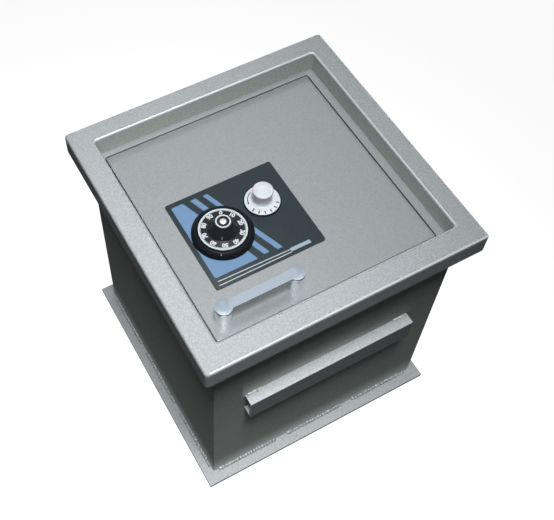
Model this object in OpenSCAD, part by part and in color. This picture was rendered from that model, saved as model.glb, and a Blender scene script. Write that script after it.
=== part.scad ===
// In-floor safe: welded steel box with a pressed top frame, a hinged square door that lies flush
// inside the recess, a three-wheel combination lock and a knob that throws three locking bolts.
// Millimetres. X runs right along the front edge, Y to the back, Z up.
// The origin is the middle of the underside of the base plate.
// The safe is drawn unlocked: door shut, locking bolts drawn in, lock bolt drawn back.

/* [Frame] */
// outside width of the top frame
frame_w = 400; // [380:1:430]
// outside depth of the top frame
frame_d = 400; // [380:1:430]
// height from the floor to the top of the frame
overall_h = 410; // [330:1:520]
// height of the skirt that hangs round the outside
skirt_h = 31; // [20:1:45]
// sheet thickness of the frame
frame_t = 4; // [3:0.5:5]
// radius of the frame's rolled edges
edge_r = 4; // [2:0.5:4.5]
// radius of the frame's outer corners, seen from above
frame_corner_r = 5; // [5:0.5:14]
// clear width of the recess
recess_w = 339; // [335:1:350]
// clear depth of the recess
recess_d = 337; // [335:1:350]
// offset of the recess to the right
recess_x = 1; // [-2:0.5:2]
// offset of the recess towards the back
recess_y = 2; // [0:0.5:3]
// depth of the recess down to the face of the door
recess_depth = 30; // [30:1:40]
// corner radius of the recess
recess_corner_r = 4; // [4:0.5:14]

/* [Body] */
// plate thickness of the body walls
wall_t = 7.5; // [4:0.5:8]
// thickness of the base plate
base_t = 6; // [4:0.5:10]
// width of the base plate
base_w = 384; // [372:1:420]
// depth of the base plate
base_d = 388; // [372:1:420]
// leg of the weld beads at the foot of the body
bead_r = 4; // [2:0.5:6]
// length of each stitch of weld at the foot
bead_len = 100; // [20:1:110]

/* [Anchor channel] */
// length of the channel
channel_len = 257; // [180:1:320]
// offset of the channel's middle from the middle of the front face
channel_x = -1.5; // [-10:0.5:10]
// height of the channel's middle above the floor
channel_z = 216; // [150:1:250]
// height of the channel
channel_h = 40; // [30:1:50]
// distance the channel stands out from the body
channel_out = 16; // [12:1:25]
// wall thickness of the channel
channel_t = 3; // [2:0.5:4]
// length of the weld at each end of the channel
channel_bead_len = 22; // [10:1:40]
// leg of the welds on the channel
channel_bead_r = 2.5; // [1.5:0.5:4]

/* [Door] */
// width of the door
door_w = 317; // [313:1:320]
// depth of the door
door_d = 314; // [310:1:317]
// thickness of the door
door_t = 12; // [10:0.5:13]
// gap between the door and the ledge
door_gap = 1.6; // [1.4:0.1:2]
// offset of the door to the right
door_x = -1.5; // [-2:0.5:2]
// offset of the door towards the back
door_y = 3; // [2:0.5:4]
// corner radius of the door
door_corner_r = 2.5; // [2:0.5:6]
// radius of the door's top edge
door_edge_r = 1; // [0.5:0.25:1.5]
// distance the seat reaches in under the door opening
seat_reach = 10; // [8:0.5:10.5]
// thickness of the door seat
seat_t = 6; // [4:0.5:6]
// distance from the door's back edge to the hinge axis
hinge_setback = 16; // [15:0.5:20]
// diameter of the hinge pins
hinge_pin_d = 6; // [5:0.5:7]
// length of each hinge pin inside the door
hinge_pin_in = 12; // [8:0.5:16]

/* [Lock plate] */
// width of the printed plate
plate_w = 158; // [154:1:170]
// depth of the printed plate
plate_d = 143; // [136:1:155]
// middle of the plate across the door
plate_x = -48.3; // [-50:0.1:-46]
// middle of the plate along the door
plate_y = -21; // [-24:0.1:-18]
// thickness of the plate
plate_t = 1.5; // [1:0.25:2]

/* [Dial] */
// middle of the dial across the door
dial_x = -80.5; // [-82:0.1:-79]
// middle of the dial along the door
dial_y = -22.5; // [-24:0.1:-21]
// outer radius of the dial ring
ring_r = 40.7; // [39:0.1:42]
// outer radius of the dial
dial_r = 32.6; // [30:0.1:33.5]
// height of the dial's face above the door
dial_face_h = 12; // [11:0.25:14]
// height of the top of the grip above the door
dial_h = 29.5; // [26:0.25:30]
// radius of the grip where it meets the face
grip_base_r = 19.5; // [17:0.25:21]
// radius of the top of the grip
grip_top_r = 11.2; // [9:0.25:13]
// angle of the ring's index mark, counted from the front towards the left
index_turn = 32; // [0:1:45]

/* [Combination lock] */
// length of the lock case
case_w = 84; // [82:0.5:85]
// depth of the lock case
case_d = 62; // [60:0.5:64]
// height of the lock case
case_h = 30; // [30:0.5:33]
// radius of a combination wheel
wheel_r = 21.5; // [20:0.25:21.5]
// thickness of a combination wheel
wheel_t = 2.6; // [2:0.1:2.7]
// diameter of the spindle
spindle_d = 8; // [7:0.25:8.5]
// height of the lock bolt
lock_bolt_h = 16; // [14:0.5:16]
// width of the lock bolt
lock_bolt_w = 12; // [10:0.5:12]
// distance that the lock bolt slides
lock_throw = 9; // [7:0.25:9]

/* [Knob] */
// distance from the dial to the knob across the door
knob_dx = 69.5; // [69:0.1:71]
// distance from the dial to the knob along the door
knob_dy = 20; // [19.5:0.1:22]
// radius of the knob's skirt
knob_skirt_r = 23.6; // [21:0.1:25]
// radius of the knob's grip at the top
knob_r = 13.75; // [12:0.25:15]
// radius of the knob's neck, above the skirt
knob_neck_r = 11.5; // [9:0.25:11.75]
// height of the top of the knob above the door
knob_h = 27; // [25:0.5:29]
// diameter of the knob's shaft
shaft_d = 9; // [8:0.25:9]
// angle the knob turns to throw the bolts
knob_turn = 80; // [75:1:80]

/* [Boltwork] */
// distance that the locking bolts slide
bolt_throw = 18; // [17:0.5:18]
// diameter of the locking bolts
bolt_d = 16; // [12:0.5:16]
// spacing of the locking bolts
bolt_spacing = 90; // [84:1:95]
// thickness of the bolt carrier
carrier_t = 4.4; // [4:0.1:4.5]

/* [Handle] */
// middle of the handle across the door
handle_x = -88.5; // [-91:0.5:-86]
// middle of the handle along the door
handle_y = -130; // [-130:0.5:-126]
// distance between the two posts
handle_cc = 100.5; // [94:0.5:102]
// diameter of the posts
post_d = 20.5; // [16:0.5:21]
// diameter of the bar's round ends
bar_end_d = 22.4; // [21:0.1:24]
// width of the bar between its ends
bar_w = 13; // [10:0.5:18]
// thickness of the bar
bar_t = 4; // [3:0.5:6]
// height of the handle above the door
handle_h = 30; // [26:0.5:30]

/* [Hidden] */
$fn = 64;

// small values shared by several pieces
running_gap = 0.08;       // radial clearance of a shaft that turns or slides in a bore
slide_gap = 0.1;          // clearance at each side of a flat slide
cut = 1;                  // how far a cutter runs past the face it opens
steel = [0.72, 0.74, 0.75];
zinc = [0.78, 0.79, 0.78];
paint = [0.62, 0.64, 0.62];
dark = [0.1, 0.1, 0.11];
brass = [0.78, 0.62, 0.32];

// heights
door_top = overall_h - recess_depth;
door_bottom = door_top - door_t;
seat_bottom = door_bottom - seat_t;

// body
body_w = recess_w + 2 * wall_t;
body_d = recess_d + 2 * wall_t;

// door opening
opening_w = door_w + 2 * door_gap;
opening_d = door_d + 2 * door_gap;
door_front = door_y - door_d / 2;
door_back = door_y + door_d / 2;
seat_front = door_front - door_gap + seat_reach;
hinge_y = door_back - hinge_setback;
hinge_z = door_bottom + door_t / 2;
seat_back = hinge_y - hinge_setback - door_t / 2;

// knob
knob_x = dial_x + knob_dx;
knob_y = dial_y + knob_dy;
bezel_t = 1.3;
bezel_over = 1.4;
knob_flare = 4;
knob_skirt_rise = 1.2;
knob_crown = 2;
knob_lip_h = 1.5;
knob_cap_r = 9.5;
knob_cap_t = 1.2;
bush_r = shaft_d / 2 + 4;
plate_top = door_top + plate_t;

// dial
ring_floor = 2;
ring_floor_top = plate_top + ring_floor;
tube_r = spindle_d / 2 + 2;
dial_disc_t = 3;
ring_screw_at = 22;
ring_screw_r = 1.5;
ring_screw_in = 6;
ring_head_r = 3;
ring_head_t = 1.8;
dial_cap_r = 4.6;
dial_cap_t = 2;
spindle_top_skin = 7;

// lock case: the spindle stands case_left in from its left end
case_left = 27;
case_wall = 3;
case_floor = 4;
cover_t = 2;
case_x0 = dial_x - case_left;
case_x1 = case_x0 + case_w;
case_y0 = dial_y - case_d / 2;
case_y1 = dial_y + case_d / 2;
case_bottom = door_bottom - case_h;
case_inner_top = door_bottom - case_floor;
column_r = 4.5;
column_in = 6;
lock_screw_r = 3;
key_hole_x = 12;
key_hole_r = 2.5;
column_spots = [[case_x0 + column_in, case_y0 + column_in],
    [case_x0 + column_in, case_y1 - column_in],
    [case_x1 - column_in, case_y0 + column_in]];

// wheel pack, counted down from the floor of the case
post_r = spindle_d / 2 + 1.5;
spacer_t = 1;
side_play = 0.1;
wheel_step = wheel_t + spacer_t + 2 * side_play;
gate_w = 4.6;
gate_depth = 6;
pack_bottom = case_inner_top - spacer_t - 3 * wheel_step;
clip_t = 0.8;
post_bottom = pack_bottom - clip_t - 0.4;
cam_r = wheel_r - 1.5;
cam_t = 4.2;
cam_top = post_bottom - 0.6;
cam_bottom = cam_top - cam_t;

// lock bolt and its lever, at the place they have when the safe is locked
lock_bolt_top = case_inner_top - 2;
lock_bolt_bottom = lock_bolt_top - lock_bolt_h;
lock_bolt_end = knob_x - 1.5;
block_w = 16;
block_right = case_x1 - case_wall - 5.5;
block_gap = 0.6;
lever_t = 3.6;
lever_screw_r = 2.5;
lever_thread_r = 2;
lever_thread = 6;
lever_head_r = 4.5;
lever_head_t = 2;
lever_top = cam_top - 0.2;
lever_bottom = lever_top - lever_t;
lever_y0 = dial_y + wheel_r + 1.4;
lever_y1 = lever_y0 + 4.2;
fence_w = gate_w - 1;
lever_eye_r = 6;
pivot_x = block_right - block_w / 2;
pivot_y = lever_y1 - lever_eye_r;
gate_turn = atan(lock_throw / (lever_y0 - dial_y));   // turns the gates under the drawn-back fence

// boltwork
crank_r = bolt_throw / (2 * sin(knob_turn / 2));
pin_at = [crank_r * cos(knob_turn / 2), crank_r * sin(knob_turn / 2)];
carrier_top = door_bottom - 0.6;
carrier_bottom = carrier_top - carrier_t;
crank_top = carrier_bottom - 0.5;
crank_t = 5.5;
crank_hub_r = 8;
crank_end_r = 5.5;
drive_pin_r = 3;
hub_drop = 5;
drive_slack = 0.5;
stem_clear = 2.5;
stem_reach_left = 9.5;
stem_left = max(case_x1 + stem_clear, knob_x - stem_reach_left);
stem_reach_right = 32;
stem_right = knob_x + stem_reach_right;
stem_reach_back = 49;
stem_back = knob_y + stem_reach_back;
bar_setback = 45.6;
bar_front = seat_front + bar_setback;
bar_thick = 6;
cross_d = 24;
cross_back = bar_front + cross_d;
tip_gap = 3.6;
bolt_tip = seat_front + tip_gap;
bolt_chamfer = 1.5;
bolt_skin = 2;
bolt_z = carrier_bottom - bolt_d / 2 - bolt_skin;
bar_bottom = bolt_z - bolt_d / 2 - bolt_skin;
bar_end = 10;
bar_half = bolt_spacing + bolt_d / 2 + bar_end;
bolt_screw_r = 3;
bolt_screw_in = 14;
guide_t = 11;
guide_side = 9;
guide_gap = 2;
guide_back = bar_front - bolt_throw - guide_gap;
shoulder_r = 4.5;
shoulder_head_t = 4;
slot_back_x = 23;
slot_back_y = 20.5;
slot_front_x = 12;
slot_front_y = -59.5;
slot_spots = [[knob_x + slot_back_x, knob_y + slot_back_y],
    [knob_x + slot_front_x, knob_y + slot_front_y]];
tab_t = 4;
tab_front = dial_y + lock_bolt_w / 2 + (bolt_throw - tab_t - lock_bolt_w) / 2;
tab_overlap = 4.5;
tab_right = lock_bolt_end + tab_overlap;

// screw heads and the depth of their threads in the door
screw_head_r = 5;
screw_head_t = 4;
screw_in = 7;
socket_r = 2.8;
socket_depth = 2.5;

// handle
handle_screw_r = 3;
handle_screw_in = 16;
post_spots = [[handle_x - handle_cc / 2, handle_y], [handle_x + handle_cc / 2, handle_y]];

// rectangle with round corners
module round_rect(w, d, r) {
    square([w - 2 * r, d], center = true);
    square([w, d - 2 * r], center = true);
    for (sx = [-1, 1], sy = [-1, 1])
        translate([sx * (w / 2 - r), sy * (d / 2 - r)])
            circle(r = r);
}

// right half of the section of a block whose top edges are rounded; its top is at y = 0
module half_crown(half_w, h, edge) {
    translate([0, -h])
        square([half_w, h - edge]);
    translate([0, -edge])
        square([half_w - edge, edge]);
    intersection() {
        translate([half_w - edge, -edge])
            circle(r = edge);
        translate([half_w - edge, -edge])
            square(edge);
    }
}

// block with round corners and a rounded top edge; its top is at z = 0
module crowned_block(w, d, h, corner, edge) {
    for (s = [0, 1])
        mirror([s, 0, 0])
            rotate([90, 0, 0])
                linear_extrude(d - 2 * corner, center = true)
                    half_crown(w / 2, h, edge);
    for (s = [0, 1])
        mirror([0, s, 0])
            rotate([90, 0, 90])
                linear_extrude(w - 2 * corner, center = true)
                    half_crown(d / 2, h, edge);
    for (sx = [-1, 1], sy = [-1, 1])
        translate([sx * (w / 2 - corner), sy * (d / 2 - corner), 0])
            rotate_extrude()
                half_crown(corner, h, edge);
}

// section cut away where a wall turns into a flat top with a rolled edge
module roll_section(edge) {
    difference() {
        translate([-0.01, -edge])
            square([edge + 0.01, edge + cut]);
        translate([edge, -edge])
            circle(r = edge);
    }
}

// cutter for a recess with a rolled top edge; the top is at z = 0
module recess_cutter(w, d, depth, corner, edge) {
    translate([0, 0, -depth - cut])
        linear_extrude(depth + 2 * cut)
            round_rect(w, d, corner);
    for (k = [0:3])
        rotate([0, 0, 90 * k]) {
            along = k % 2 == 0 ? d : w;
            across = k % 2 == 0 ? w : d;
            translate([across / 2, 0, 0])
                rotate([90, 0, 0])
                    linear_extrude(along - 2 * corner, center = true)
                        roll_section(edge);
            translate([across / 2 - corner, along / 2 - corner, 0])
                intersection() {
                    rotate_extrude()
                        translate([corner, 0])
                            roll_section(edge);
                    translate([0, 0, -edge - cut])
                        cube(corner + edge + 2 * cut);
                }
        }
}

// quarter-round bead along X, in the corner between a floor and a wall behind it
module bead(r, length) {
    rotate([90, 0, 90])
        linear_extrude(length, center = true)
            intersection() {
                circle(r = r);
                translate([-r, 0])
                    square([r, r]);
            }
}

// hex socket, cut down into a head that faces up
module hex_socket(r, depth) {
    translate([0, 0, -depth])
        cylinder(r = r, h = depth + cut, $fn = 6);
}

module base_plate() {
    color(paint)
        linear_extrude(base_t)
            square([base_w, base_d], center = true);
}

module body_shell() {
    color(paint)
        translate([0, 0, base_t])
            linear_extrude(door_top - base_t)
                difference() {
                    square([body_w, body_d], center = true);
                    square([recess_w, recess_d], center = true);
                }
}

// stitches of weld: three on each side of the body
module foot_welds() {
    color(zinc)
        for (k = [0:3], s = [-1, 0, 1])
            rotate([0, 0, 90 * k]) {
                along = k % 2 == 0 ? body_w : body_d;
                across = k % 2 == 0 ? body_d : body_w;
                translate([s * (along / 2 - bead_len / 2 - 8), -across / 2, base_t])
                    bead(bead_r, bead_len);
            }
}

module top_frame() {
    color(paint)
        translate([0, 0, overall_h])
            difference() {
                union() {
                    difference() {
                        crowned_block(frame_w, frame_d, skirt_h, frame_corner_r, edge_r);
                        translate([0, 0, -skirt_h - cut])
                            linear_extrude(skirt_h + cut - frame_t)
                                round_rect(frame_w - 2 * frame_t, frame_d - 2 * frame_t,
                                    max(0.5, frame_corner_r - frame_t));
                    }
                    translate([recess_x, recess_y, -recess_depth])
                        linear_extrude(recess_depth - frame_t / 2)
                            round_rect(recess_w + 2 * frame_t, recess_d + 2 * frame_t,
                                recess_corner_r + frame_t);
                }
                translate([recess_x, recess_y, 0])
                    recess_cutter(recess_w, recess_d, recess_depth + skirt_h, recess_corner_r, edge_r);
            }
}

// outline of the opening that the door lies in
module opening_outline() {
    translate([door_x, door_y])
        round_rect(opening_w, opening_d, door_corner_r + door_gap);
}

module door_ledge() {
    color(paint)
        difference() {
            translate([0, 0, door_bottom])
                linear_extrude(door_t)
                    difference() {
                        square([recess_w, recess_d], center = true);
                        opening_outline();
                    }
            hinge_bores(hinge_pin_d / 2);
        }
}

// seat under the front and both sides; it stops short of the hinge so the door's tail can swing
module door_seat() {
    color(paint)
        translate([0, 0, seat_bottom])
            linear_extrude(seat_t)
                difference() {
                    translate([-recess_w / 2, -recess_d / 2])
                        square([recess_w, recess_d / 2 + seat_back]);
                    translate([door_x - opening_w / 2 + seat_reach, seat_front])
                        square([opening_w - 2 * seat_reach, recess_d]);
                }
}

module anchor_channel() {
    color(zinc)
        translate([channel_x, -body_d / 2, channel_z])
            rotate([90, 0, 90])
                linear_extrude(channel_len, center = true)
                    difference() {
                        translate([-channel_out, -channel_h / 2])
                            square([channel_out, channel_h]);
                        translate([-channel_out + channel_t, -channel_h / 2 + channel_t])
                            square([channel_out, channel_h - 2 * channel_t]);
                    }
}

module channel_welds() {
    color(zinc)
        for (s = [-1, 1])
            translate([channel_x + s * (channel_len / 2 - channel_bead_len / 2 - 2),
                -body_d / 2, channel_z + channel_h / 2])
                bead(channel_bead_r, channel_bead_len);
}

// the two hinge bores or pins, right through the ledge bars into the door
module hinge_bores(r, inward = 0) {
    length = recess_w / 2 - door_w / 2 + hinge_pin_in + inward;
    for (s = [-1, 1])
        translate([s * (recess_w / 2 - length / 2), hinge_y, hinge_z])
            rotate([0, 90, 0])
                cylinder(r = r, h = length, center = true);
}

module hinge_pins() {
    color(steel)
        hinge_bores(hinge_pin_d / 2);
}

module door_plate() {
    color(paint)
        difference() {
            translate([door_x, door_y, door_top])
                crowned_block(door_w, door_d, door_t, door_corner_r, door_edge_r);
            hinge_bores(hinge_pin_d / 2 + running_gap, 0.5);
            translate([dial_x, dial_y, door_bottom - cut])
                cylinder(r = tube_r, h = door_t + 2 * cut);
            translate([knob_x, knob_y, door_bottom - cut])
                cylinder(r = bush_r, h = door_t + 2 * cut);
            for (p = post_spots)
                translate([p[0], p[1], door_bottom - cut])
                    cylinder(r = handle_screw_r + 0.2, h = door_t + 2 * cut);
            for (p = column_spots)
                translate([p[0], p[1], door_bottom - cut])
                    cylinder(r = lock_screw_r, h = cut + screw_in + 1);
            for (p = slot_spots)
                translate([p[0], p[1], door_bottom - cut])
                    cylinder(r = shoulder_r - 1.5, h = cut + screw_in + 1);
            ring_screw_holes(door_top - ring_screw_in);
        }
}

// holes of the dial ring's two screws, from the height z0 up
module ring_screw_holes(z0) {
    translate([dial_x, dial_y, z0])
        rotate([0, 0, -index_turn])
            for (s = [-1, 1])
                translate([s * ring_screw_at, 0, 0])
                    cylinder(r = ring_screw_r, h = ring_screw_in + plate_t + ring_floor + 2 * cut);
}

module lock_plate() {
    color([0.24, 0.28, 0.31])
        difference() {
            translate([plate_x, plate_y, door_top])
                linear_extrude(plate_t)
                    round_rect(plate_w, plate_d, 3);
            translate([dial_x, dial_y, door_top - cut])
                cylinder(r = tube_r, h = plate_t + 2 * cut);
            translate([knob_x, knob_y, door_top - cut])
                cylinder(r = bush_r, h = plate_t + 2 * cut);
            ring_screw_holes(door_top - cut);
        }
}

module dial_ring() {
    bore = dial_r + 0.6;
    top = dial_face_h - plate_t - 0.8;
    color(dark)
        difference() {
            translate([dial_x, dial_y, plate_top])
                rotate_extrude()
                    polygon([[tube_r, 0], [ring_r, 0], [ring_r, 4], [bore + 2, top],
                        [bore, top], [bore, ring_floor], [tube_r, ring_floor]]);
            ring_screw_holes(plate_top - cut);
        }
}

module ring_screws() {
    color(steel)
        translate([dial_x, dial_y, 0])
            rotate([0, 0, -index_turn])
                for (s = [-1, 1])
                    translate([s * ring_screw_at, 0, 0]) {
                        translate([0, 0, door_top - ring_screw_in])
                            cylinder(r = ring_screw_r, h = ring_screw_in + plate_t + ring_floor);
                        translate([0, 0, ring_floor_top])
                            difference() {
                                cylinder(r = ring_head_r, h = ring_head_t);
                                translate([-cut - ring_head_r, -0.4, ring_head_t - 0.8])
                                    cube([2 * ring_head_r + 2 * cut, 0.8, 0.8 + cut]);
                            }
                    }
}

module spindle_tube() {
    color(brass)
        translate([dial_x, dial_y, case_inner_top])
            difference() {
                cylinder(r = tube_r, h = ring_floor_top - case_inner_top);
                translate([0, 0, -cut])
                    cylinder(r = spindle_d / 2 + running_gap, h = ring_floor_top - case_inner_top + 2 * cut);
            }
}

// numbered disc with a tapered grip; hollow under the face
module dial() {
    low = ring_floor_top + 0.4 - door_top;
    color(dark)
        difference() {
            translate([dial_x, dial_y, door_top])
                rotate_extrude()
                    polygon([[0, low], [tube_r + 2, low], [tube_r + 2, dial_face_h - dial_disc_t],
                        [dial_r, dial_face_h - dial_disc_t], [dial_r, dial_face_h - 0.8],
                        [dial_r - 0.8, dial_face_h], [grip_base_r, dial_face_h],
                        [grip_top_r, dial_h - 0.8], [grip_top_r - 0.8, dial_h], [0, dial_h]]);
            translate([dial_x, dial_y, door_top + low - cut])
                cylinder(r = spindle_d / 2, h = dial_h - spindle_top_skin + 1 - low + cut);
            translate([dial_x, dial_y, door_top + dial_h - 0.9])
                difference() {
                    cylinder(r = grip_top_r - 1.8, h = 0.9 + cut);
                    translate([0, 0, -cut])
                        cylinder(r = dial_cap_r + 0.5, h = 3 + cut);
                }
            translate([dial_x, dial_y, door_top + dial_h - dial_cap_t])
                cylinder(r = dial_cap_r, h = dial_cap_t + cut);
        }
}

module dial_cap() {
    color(steel)
        translate([dial_x, dial_y, door_top + dial_h - dial_cap_t])
            cylinder(r = dial_cap_r, h = dial_cap_t);
}

module spindle() {
    color(steel)
        translate([dial_x, dial_y, cam_bottom - 3.5])
            cylinder(r = spindle_d / 2, h = door_top + dial_h - spindle_top_skin - cam_bottom + 3.5);
}

module lock_case() {
    mid_x = (case_x0 + case_x1) / 2;
    color(zinc)
        difference() {
            union() {
                translate([mid_x, dial_y, case_bottom + cover_t])
                    difference() {
                        linear_extrude(case_h - cover_t)
                            round_rect(case_w, case_d, 5);
                        translate([0, 0, -cut])
                            linear_extrude(case_h - cover_t - case_floor + cut)
                                round_rect(case_w - 2 * case_wall, case_d - 2 * case_wall, 2);
                    }
                for (p = column_spots)
                    translate([p[0], p[1], case_bottom + cover_t])
                        cylinder(r = column_r, h = case_h - cover_t - case_floor);
            }
            for (p = column_spots)
                translate([p[0], p[1], case_bottom])
                    cylinder(r = lock_screw_r + 0.2, h = case_h + cut);
            translate([dial_x, dial_y, case_inner_top - cut])
                cylinder(r = tube_r, h = case_floor + 2 * cut);
            translate([case_x1 - case_wall - cut, dial_y - lock_bolt_w / 2 - slide_gap,
                lock_bolt_bottom - slide_gap])
                cube([case_wall + 2 * cut, lock_bolt_w + 2 * slide_gap, lock_bolt_h + 2 * slide_gap]);
        }
}

module lock_cover() {
    mid_x = (case_x0 + case_x1) / 2;
    color(zinc)
        difference() {
            translate([mid_x, dial_y, case_bottom])
                linear_extrude(cover_t)
                    round_rect(case_w, case_d, 5);
            for (p = column_spots)
                translate([p[0], p[1], case_bottom - cut])
                    cylinder(r = lock_screw_r + 0.2, h = cover_t + 2 * cut);
            translate([dial_x + key_hole_x, dial_y, case_bottom - cut])
                cylinder(r = key_hole_r, h = cover_t + 2 * cut);
        }
}

module lock_screws() {
    color(steel)
        for (p = column_spots)
            translate([p[0], p[1], 0])
                difference() {
                    union() {
                        translate([0, 0, case_bottom - screw_head_t])
                            cylinder(r = screw_head_r, h = screw_head_t);
                        translate([0, 0, case_bottom])
                            cylinder(r = lock_screw_r, h = case_h + screw_in);
                    }
                    translate([0, 0, case_bottom - screw_head_t])
                        mirror([0, 0, 1])
                            hex_socket(socket_r, socket_depth);
                }
}

// flanged tube that the wheels turn on
module wheel_post() {
    color(brass)
        translate([dial_x, dial_y, 0])
            difference() {
                union() {
                    translate([0, 0, post_bottom])
                        cylinder(r = post_r, h = case_inner_top - post_bottom);
                    translate([0, 0, case_inner_top - spacer_t])
                        cylinder(r = post_r + 3, h = spacer_t);
                }
                translate([0, 0, post_bottom - cut])
                    cylinder(r = spindle_d / 2 + 0.4, h = case_inner_top - post_bottom + 2 * cut);
            }
}

// height of the underside of wheel k, counted from the floor of the case
function wheel_z(k) = case_inner_top - spacer_t - (k + 1) * wheel_step + spacer_t + side_play;

module wheel_spacers() {
    color(brass)
        for (k = [0:1])
            translate([dial_x, dial_y, wheel_z(k) - side_play - spacer_t])
                difference() {
                    cylinder(r = post_r + 3, h = spacer_t);
                    translate([0, 0, -cut])
                        cylinder(r = post_r, h = spacer_t + 2 * cut);
                }
}

module post_clip() {
    color(steel)
        translate([dial_x, dial_y, pack_bottom + spacer_t - side_play - clip_t])
            difference() {
                cylinder(r = post_r + 2.4, h = clip_t);
                translate([0, 0, -cut])
                    cylinder(r = post_r, h = clip_t + 2 * cut);
                translate([-1.5, -post_r - 4, -cut])
                    cube([3, post_r + 4, clip_t + 2 * cut]);
            }
}

module wheel(k) {
    color(brass)
        translate([dial_x, dial_y, wheel_z(k)])
            difference() {
                cylinder(r = wheel_r, h = wheel_t);
                translate([0, 0, -cut])
                    cylinder(r = post_r + running_gap, h = wheel_t + 2 * cut);
                rotate([0, 0, gate_turn])
                    translate([-gate_w / 2, wheel_r - gate_depth, -cut])
                        cube([gate_w, gate_depth + cut, wheel_t + 2 * cut]);
                for (a = [30:60:330])
                    rotate([0, 0, a + gate_turn])
                        translate([wheel_r * 0.62, 0, -cut])
                            cylinder(r = 1.8, h = wheel_t + 2 * cut);
            }
}

module drive_cam() {
    color(brass)
        translate([dial_x, dial_y, cam_bottom])
            difference() {
                cylinder(r = cam_r, h = cam_t);
                translate([0, 0, -cut])
                    cylinder(r = spindle_d / 2, h = cam_t + 2 * cut);
                rotate([0, 0, gate_turn])
                    translate([-gate_w / 2, cam_r - gate_depth, -cut])
                        cube([gate_w + 3, gate_depth + cut, cam_t + 2 * cut]);
            }
}

module cam_nut() {
    color(steel)
        translate([dial_x, dial_y, cam_bottom - 3])
            difference() {
                cylinder(r = spindle_d / 2 + 3.5, h = 3, $fn = 6);
                translate([0, 0, -cut])
                    cylinder(r = spindle_d / 2, h = 3 + 2 * cut);
            }
}

// bolt of the combination lock, drawn back into the case
module lock_bolt() {
    nose_left = block_right - block_w;
    block_bottom = cam_top + block_gap;
    color(brass)
        translate([-lock_throw, 0, 0])
            difference() {
                union() {
                    translate([nose_left, dial_y - lock_bolt_w / 2, lock_bolt_bottom])
                        cube([lock_bolt_end - nose_left, lock_bolt_w, lock_bolt_h]);
                    translate([nose_left, dial_y - lock_bolt_w / 2, block_bottom])
                        cube([block_w, lever_y1 - dial_y + lock_bolt_w / 2 - 2,
                            case_inner_top - block_gap - block_bottom]);
                }
                translate([pivot_x, pivot_y, block_bottom - cut])
                    cylinder(r = lever_thread_r, h = cut + lever_thread + 1);
            }
}

// lever in the plane of the drive cam, with the fence standing up across the wheels
module lock_lever() {
    left = dial_x - 5.5;
    color(steel)
        translate([-lock_throw, 0, 0])
            difference() {
                union() {
                    translate([0, 0, lever_bottom])
                        linear_extrude(lever_t) {
                            translate([left, lever_y0])
                                square([pivot_x - left, lever_y1 - lever_y0]);
                            translate([left, lever_y0 - 2])
                                square([5, 2.5]);
                            translate([pivot_x, pivot_y])
                                circle(r = lever_eye_r);
                        }
                    translate([dial_x - fence_w / 2, lever_y0 - 0.8, lever_top - 0.1])
                        cube([fence_w, 4, case_inner_top - 0.8 - lever_top + 0.1]);
                }
                translate([pivot_x, pivot_y, lever_bottom - cut])
                    cylinder(r = lever_screw_r + running_gap, h = lever_t + 2 * cut);
            }
}

module lever_screw() {
    block_bottom = cam_top + block_gap;
    color(steel)
        translate([pivot_x - lock_throw, pivot_y, 0]) {
            translate([0, 0, lever_bottom])
                cylinder(r = lever_screw_r, h = block_bottom - lever_bottom);
            translate([0, 0, block_bottom])
                cylinder(r = lever_thread_r, h = lever_thread);
            translate([0, 0, lever_bottom - lever_head_t])
                cylinder(r = lever_head_r, h = lever_head_t);
        }
}

module knob_bush() {
    color(brass)
        translate([knob_x, knob_y, door_bottom])
            difference() {
                cylinder(r = bush_r, h = door_t + plate_t);
                translate([0, 0, -cut])
                    cylinder(r = shaft_d / 2 + running_gap, h = door_t + plate_t + 2 * cut);
            }
}

module knob_bezel() {
    color(dark)
        translate([knob_x, knob_y, plate_top])
            difference() {
                cylinder(r = knob_skirt_r + bezel_over, h = bezel_t);
                translate([0, 0, -cut])
                    cylinder(r = shaft_d / 2 + 0.5, h = bezel_t + 2 * cut);
            }
}

// white knob: a wide skirt that flares up into a neck, and a grip that widens to a flat round top
module open_knob() {
    low = plate_t + bezel_t + 0.4;
    rim = low + 1.2;
    foot = rim + knob_skirt_rise;
    lip = knob_h - knob_crown - knob_lip_h;
    color([0.93, 0.94, 0.94])
        translate([knob_x, knob_y, door_top])
            difference() {
                rotate_extrude()
                    difference() {
                        union() {
                            polygon([[0, low], [knob_skirt_r - 0.4, low], [knob_skirt_r, low + 0.4],
                                [knob_skirt_r, rim], [knob_neck_r + knob_flare, foot],
                                [knob_neck_r, foot + knob_flare], [knob_r, lip],
                                [knob_r, knob_h - knob_crown], [0, knob_h - knob_crown]]);
                            translate([0, low])
                                square([knob_r - knob_crown, knob_h - low]);
                            translate([knob_r - knob_crown, knob_h - knob_crown])
                                circle(r = knob_crown);
                        }
                        translate([knob_neck_r + knob_flare, foot + knob_flare])
                            circle(r = knob_flare);
                    }
                translate([0, 0, low - cut])
                    cylinder(r = shaft_d / 2, h = knob_h - 8 - low + cut);
                translate([0, 0, knob_h - knob_cap_t])
                    cylinder(r = knob_cap_r, h = knob_cap_t + cut);
            }
}

module knob_cap() {
    color([0.93, 0.94, 0.94])
        translate([knob_x, knob_y, door_top + knob_h - knob_cap_t])
            cylinder(r = knob_cap_r, h = knob_cap_t);
}

module knob_shaft() {
    low = crank_top - crank_t - hub_drop;
    color(steel)
        difference() {
            translate([knob_x, knob_y, low])
                cylinder(r = shaft_d / 2, h = door_top + knob_h - 9 - low);
            cross_hole(1.5);
        }
}

// hole or pin across the crank's hub and the shaft
module cross_hole(r) {
    translate([knob_x, knob_y, crank_top - crank_t - hub_drop / 2])
        rotate([90, 0, 0])
            cylinder(r = r, h = 2 * crank_hub_r, center = true);
}

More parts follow.
